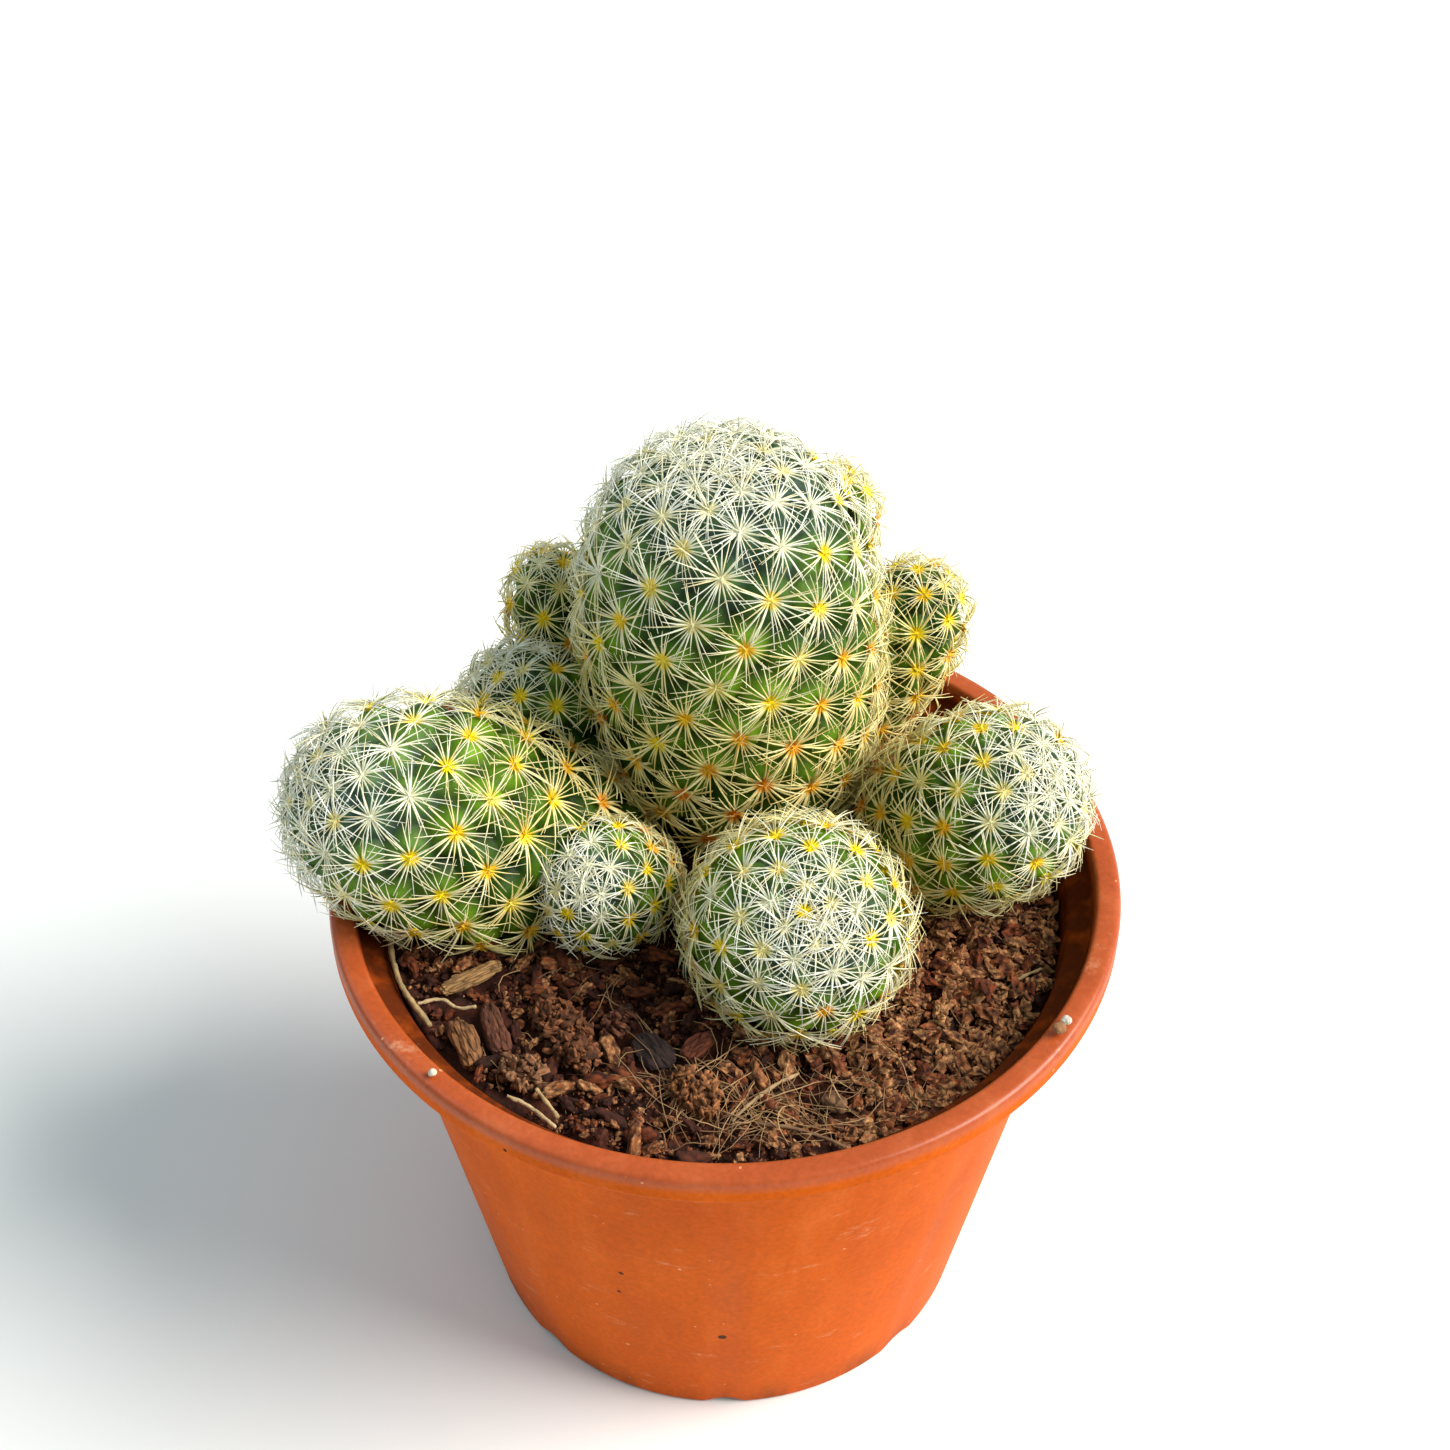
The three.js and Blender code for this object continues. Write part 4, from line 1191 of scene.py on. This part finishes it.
def looseTree():  # for finding how near the loose chips and roots are
    vertices, faces = [], []
    for name in loose:
        mesh = frame["nodes"][name].data
        start = len(vertices)
        vertices += [v.co.copy() for v in mesh.vertices]
        faces += [tuple(start + i for i in f.vertices) for f in mesh.polygons]
    return BVHTree.FromPolygons(vertices, faces)


def makeLumps(material):
    tree = scatterTree()
    crowded = looseTree()
    for name, kind in lumpKinds.items():
        shapes = bpy.data.collections.new(name + "_shapes")
        for i in range(kind["shapes"]):
            shapes.objects.link(lumpShape(f"{name}_{i}", kind, kind["seed"] * 10 + i))
        top = soilTop("soil_" + name, kind["side"], crowded)
        bakeNodes(top, tree, Shapes=shapes, Density=kind["count"] / mm ** 2, Small=kind["sizes"][0],
                  Large=kind["sizes"][1], Sink=kind["sink"] * mm, Tilt=tilt, Bright=kind["bright"],
                  Seed=kind["seed"], Material=material)
        keepPiece(top, "coir_soil")
        for shape in list(shapes.objects):
            bpy.data.objects.remove(shape)
        print("soil", name, len(top.data.polygons), "faces")


# ---- fibres

fibreLook = {
    "count": 150,
    "tangle": (5, -37, 19, 7),  # mm: middle and half sizes of the place where most of them lie
    "tangled": 0.55,  # share of them that lie there
    "length": (5, 17),
    "thickness": (0.04, 0.09),
    "steps": 9,  # points along each
    "lift": (0.2, 1.3),  # mm above the surface
    "bend": 0.8,
    "dark": "#6b4a30",
    "light": "#c49d6c",
    "seed": 21,
}


def fibreTree():
    tree, given, result = newTree("coir fibres", Material="Material")
    curve = addNode(tree, "GeometryNodeMeshToCurve", {"Mesh": given["Geometry"]})
    thick = addNode(tree, "GeometryNodeInputNamedAttribute", {"Name": "thick"}, data_type="FLOAT")
    section = addNode(tree, "GeometryNodeCurvePrimitiveCircle", {"Resolution": 5, "Radius": 1.0})
    tube = addNode(tree, "GeometryNodeCurveToMesh", {
        "Curve": curve, "Profile Curve": section, "Scale": thick, "Fill Caps": True})
    smooth = addNode(tree, "GeometryNodeSetShadeSmooth", {"Geometry": tube})
    return finishTree(tree, result, smooth, given["Material"])


def fibreMaterial():
    # Coir fibre: a dry, wiry strand, pale straw to dark brown.
    look = fibreLook
    material, tree, shader = newMaterial("wiry coir fibre", Roughness=0.6, IOR=1.45)
    place = addNode(tree, "ShaderNodeTexCoord", out="Object")
    tone = addNode(tree, "ShaderNodeAttribute", out="Fac", attribute_name="tone")
    grime = addNode(tree, "ShaderNodeTexNoise", {"Vector": place, "Scale": waves(1.4286), "Detail": 3})
    both = addNode(tree, "ShaderNodeMath", {0: tone, 1: grime}, operation="MULTIPLY")
    share = addNode(tree, "ShaderNodeMapRange", {"Value": both, "From Max": 0.6})
    paint(tree, shader, look["dark"], [(share, look["light"])])
    return material


def makeFibres():
    look, dice, steps = fibreLook, random.Random(fibreLook["seed"]), fibreLook["steps"]
    edge = innerRadius(soilBuild["level"]) - 1.2
    vertices, edges, thick, tone = [], [], [], []
    made = 0
    while made < look["count"]:
        if dice.random() < look["tangled"]:
            midX, midY, halfX, halfY = look["tangle"]
            x, y = dice.gauss(midX, halfX / 2), dice.gauss(midY, halfY / 2)
        else:
            x, y = dice.uniform(-edge, edge), dice.uniform(-edge, edge)
        heading = dice.uniform(0, math.tau)
        length, bend = dice.uniform(*look["length"]), dice.gauss(0, look["bend"])
        lift, width, shade = dice.uniform(*look["lift"]), dice.uniform(*look["thickness"]), dice.random()
        line = []
        for k in range(steps):
            t = k / (steps - 1)
            place = Vector((x * mm, y * mm, 0))
            height = roughSoil(place) / mm + 0.25 + lift * math.sin(math.pi * t) ** 0.8
            line.append(Vector((x, y, height)) * mm)
            heading += bend * 2 / steps + dice.gauss(0, 0.06)
            x += math.cos(heading) * length / (steps - 1)
            y += math.sin(heading) * length / (steps - 1)
        inside = all(p.xy.length < edge * mm for p in line)
        if not inside or any(depthInStem(stem, p) > -0.4 for p in line for stem in stems.values()):
            continue
        start = len(vertices)
        vertices += line
        edges += [(start + k, start + k + 1) for k in range(steps - 1)]
        thick += [width * mm * (1 - 0.5 * abs(2 * k / (steps - 1) - 1)) for k in range(steps)]
        tone += [shade] * steps
        made += 1
    fibres = newObject("coir_fibres", vertices, edges=edges)
    storeValues(fibres, "thick", "FLOAT", thick)
    storeValues(fibres, "tone", "FLOAT", tone)
    bakeNodes(fibres, fibreTree(), Material=fibreMaterial())
    keepPiece(fibres, "dry_root")
    print("fibres", len(fibres.data.polygons), "faces")


# ---- loose pieces

# How the surface of each kind is broken up: levels of subdivision, rounded or not, height and
# size of the knobs, how far they are drawn out along the piece, how dark the painted shade in the
# gaps is, and how many granules cling to each mm2.
clodSurface = dict(levels=3, rounds=True, height=0.5, size=1.3, grain=1, gap=0.3, granules=1.3)
barkSurface = dict(levels=4, rounds=False, height=0.5, size=0.8, grain=4, gap=0.4, granules=0)
rootSurface = dict(levels=1, rounds=True, height=0.2, size=1.2, grain=1, gap=0.7, granules=0)
gritSurface = dict(levels=2, rounds=True, height=0.15, size=0.6, grain=1, gap=0.8, granules=0)
weatherSeed = 4
grainSize = {"bark": 0.9091, "dry_root": 0.6667, "grit": 0.5556}  # mm
granuleKind = dict(shapes=9, detail=2, half=(0.95, 0.5, 0.42), wide=0.9, knob=0.4, cell=0.5)
loose = {
    "woody_chip": ("bark", "#b58a58", dict(barkSurface, size=0.5, grain=8)),
    "bark_chip_1": ("bark", "#96643c", barkSurface),
    "bark_chip_2": ("bark", "#6e3f2b", barkSurface),
    "coir_clod_1": ("bark", "#8c5f3f", clodSurface),
    "coir_clod_2": ("bark", "#85502f", clodSurface),
    "coir_clod_3": ("bark", "#9a6238", clodSurface),
    "coir_clod_4": ("bark", "#74442e", clodSurface),
    "bark_flake": ("bark", "#3d2a26", barkSurface),
    "red_bark_chip": ("bark", "#7d4027", barkSurface),
    "smooth_chip": ("bark", "#8c6443", dict(clodSurface, height=0.3, granules=0)),
    "pale_chip": ("bark", "#ae7c50", clodSurface),
    "long_root": ("dry_root", "#b3986a", rootSurface),
    "rootlet": ("dry_root", "#c7ac80", rootSurface),
    "straw_1": ("dry_root", "#c2a273", rootSurface),
    "straw_2": ("dry_root", "#cdb083", rootSurface),
    "straw_3": ("dry_root", "#b0906a", rootSurface),
    "curled_fibre": ("dry_root", "#8d6a4c", rootSurface),
    "side_straw": ("dry_root", "#b29468", rootSurface),
    "rim_grit_pale": ("grit", "#e6dccd", gritSurface),
    "rim_grit_tan": ("grit", "#a0714c", gritSurface),
    "rim_grit_left": ("grit", "#e0d4c0", gritSurface),
}


def looseMaterial(name, colour, slot, gap):
    # Weathered bark, root or grit: matt and uneven, with painted shade in its pits.
    material, tree, shader = newMaterial(name, Roughness=0.86, IOR=1.42)
    place = addNode(tree, "ShaderNodeTexCoord", out="Object")
    pit, tone = (addNode(tree, "ShaderNodeAttribute", out="Fac", attribute_name=name)
                 for name in ("pit", "tone"))
    noises = addNodes(tree, "ShaderNodeTexNoise", noiseKeys, {
        "fine": (place, waves(grainSize[slot]), 5, 0.7), "wide": (place, waves(3.125), 2)})
    worn = addNode(tree, "ShaderNodeMath", {0: noises["fine"], 1: 0.9, 2: pit}, operation="MULTIPLY_ADD")
    ramps = addNodes(tree, "ShaderNodeMapRange", rampKeys, {
        "pits": (worn, 0.5, 1.3), "shade": (noises["wide"], 0, 1, 0.5, 1.5)})
    # painted shade in the pits: the colour darkened by the gap share
    dark = tuple(c * gap for c in hexColour(colour)[:3]) + (1,)
    shade = addNode(tree, "ShaderNodeMath", {0: ramps["shade"], 1: tone}, operation="ADD")
    paint(tree, shader, colour, [(ramps["pits"], dark)], shade, (noises["fine"], 0.7, 0.3 * mm))
    return material


def lengthOf(points):  # direction of a piece's length, seen from above
    middle = sum(points, Vector()) / len(points)
    across = [p - middle for p in points]
    xx, yy, xy = (sum(p[i] * p[j] for p in across) for i, j in ((0, 0), (1, 1), (0, 1)))
    return 0.5 * math.atan2(2 * xy, xx - yy)


def breakUp(piece, surface):  # uneven knobs with pits between them, drawn out along the piece
    points = [v.co.copy() for v in piece.data.vertices]
    normals = [v.normal.copy() for v in piece.data.vertices]
    lengthwise = Matrix.Rotation(-lengthOf(points), 3, "Z")
    pits = []
    for vertex, point, normal in zip(piece.data.vertices, points, normals):
        place = lengthwise @ point / (surface["size"] * mm)
        place.x /= surface["grain"]
        place += noise.noise_vector(place * 1.7) * 0.25
        (near, second, *_), (knob, *_) = noise.voronoi(place)
        fine = noise.voronoi(place * 2.4)[0][0]
        rise = 0.35 - near + 0.5 * noise.noise(knob * 3.1) + 0.3 * (0.4 - fine)
        vertex.co = point + normal * rise * surface["height"] * mm
        # how deep in a pit each place is, where the material paints shade
        pits.append(min(1, max(0, 1 - (second - near) / 0.3)) * 0.7 + 0.5 * fine)
    storeValues(piece, "pit", "FLOAT", pits)


def granuleTree():
    # Granules pressed together all over a clod, whose core shrinks back under them.
    tree, given, result = newTree("clod granules", Shapes="Collection", Density="Float", Shrink="Float",
                                  Seed="Int", Material="Material")
    points = addNode(tree, "GeometryNodeDistributePointsOnFaces", {
        "Mesh": given["Geometry"], "Density": given["Density"], "Seed": given["Seed"]})
    turn = addNode(tree, "FunctionNodeRandomValue", {
        "Max": (math.tau, math.tau, math.tau), "Seed": given["Seed"]}, data_type="FLOAT_VECTOR")
    rotation = addNode(tree, "FunctionNodeEulerToRotation", {0: turn})
    toneSeed = addNode(tree, "FunctionNodeIntegerMath", {0: given["Seed"], 1: 5}, operation="ADD")
    size, tone = (
        addNode(tree, "FunctionNodeRandomValue", {2: least, 3: most, "Seed": seed}, data_type="FLOAT")
        for least, most, seed in ((0.35, 1.2, given["Seed"]), (-0.4, 0.8, toneSeed)))
    marked = storeAlong(tree, points, tone=tone)
    granules = placeShapes(tree, given["Shapes"], marked, rotation, size)
    inwards = addNode(tree, "ShaderNodeMath", {0: given["Shrink"], 1: -1.0}, operation="MULTIPLY")
    offset = addNode(tree, "ShaderNodeVectorMath", {
        0: addNode(tree, "GeometryNodeInputNormal"), "Scale": inwards}, operation="SCALE")
    core = addNode(tree, "GeometryNodeSetPosition", {"Geometry": given["Geometry"], "Offset": offset})
    both = addNode(tree, "GeometryNodeJoinGeometry", {"Geometry": [granules, core]})
    return finishTree(tree, result, both, given["Material"])


def makeLoose():
    noise.seed_set(weatherSeed)
    tree = granuleTree()
    shapes = bpy.data.collections.new("granule_shapes")
    for i in range(granuleKind["shapes"]):
        shapes.objects.link(lumpShape(f"granule_{i}", granuleKind, 70 + i))
    for seed, (name, (slot, colour, surface)) in enumerate(loose.items()):
        shape = bmesh.new()
        shape.from_mesh(frame["nodes"][name].data)
        bmesh.ops.remove_doubles(shape, verts=shape.verts, dist=0.00001)
        mesh = bpy.data.meshes.new(name)
        shape.to_mesh(mesh)
        shape.free()
        piece = bpy.data.objects.new(name + "_weathered", mesh)
        bpy.context.scene.collection.objects.link(piece)
        smoother = piece.modifiers.new("smooth", "SUBSURF")
        smoother.levels = smoother.render_levels = surface["levels"]
        smoother.subdivision_type = "CATMULL_CLARK" if surface["rounds"] else "SIMPLE"
        plainMesh(piece)
        breakUp(piece, surface)
        material = looseMaterial("weathered " + name.replace("_", " "), colour, slot, surface["gap"])
        if surface["granules"]:
            bakeNodes(piece, tree, Shapes=shapes, Density=surface["granules"] / mm ** 2,
                      Shrink=0.5 * mm, Seed=seed, Material=material)
        piece.data.polygons.foreach_set("use_smooth", [True] * len(piece.data.polygons))
        if not surface["rounds"]:
            sharpenEdges(piece, 35)
        piece.data.materials.clear()
        piece.data.materials.append(material)
        keepPiece(piece, slot, name)
        print(name, len(piece.data.polygons), "faces")
    for shape in list(shapes.objects):
        bpy.data.objects.remove(shape)


rooms = makeStems()
soilStuff = makeSoil(rooms[1:])
for room in rooms:
    bpy.data.objects.remove(room)
makeLumps(soilStuff)
makeFibres()
print("soil is made")
makeLoose()
print("loose pieces are made")
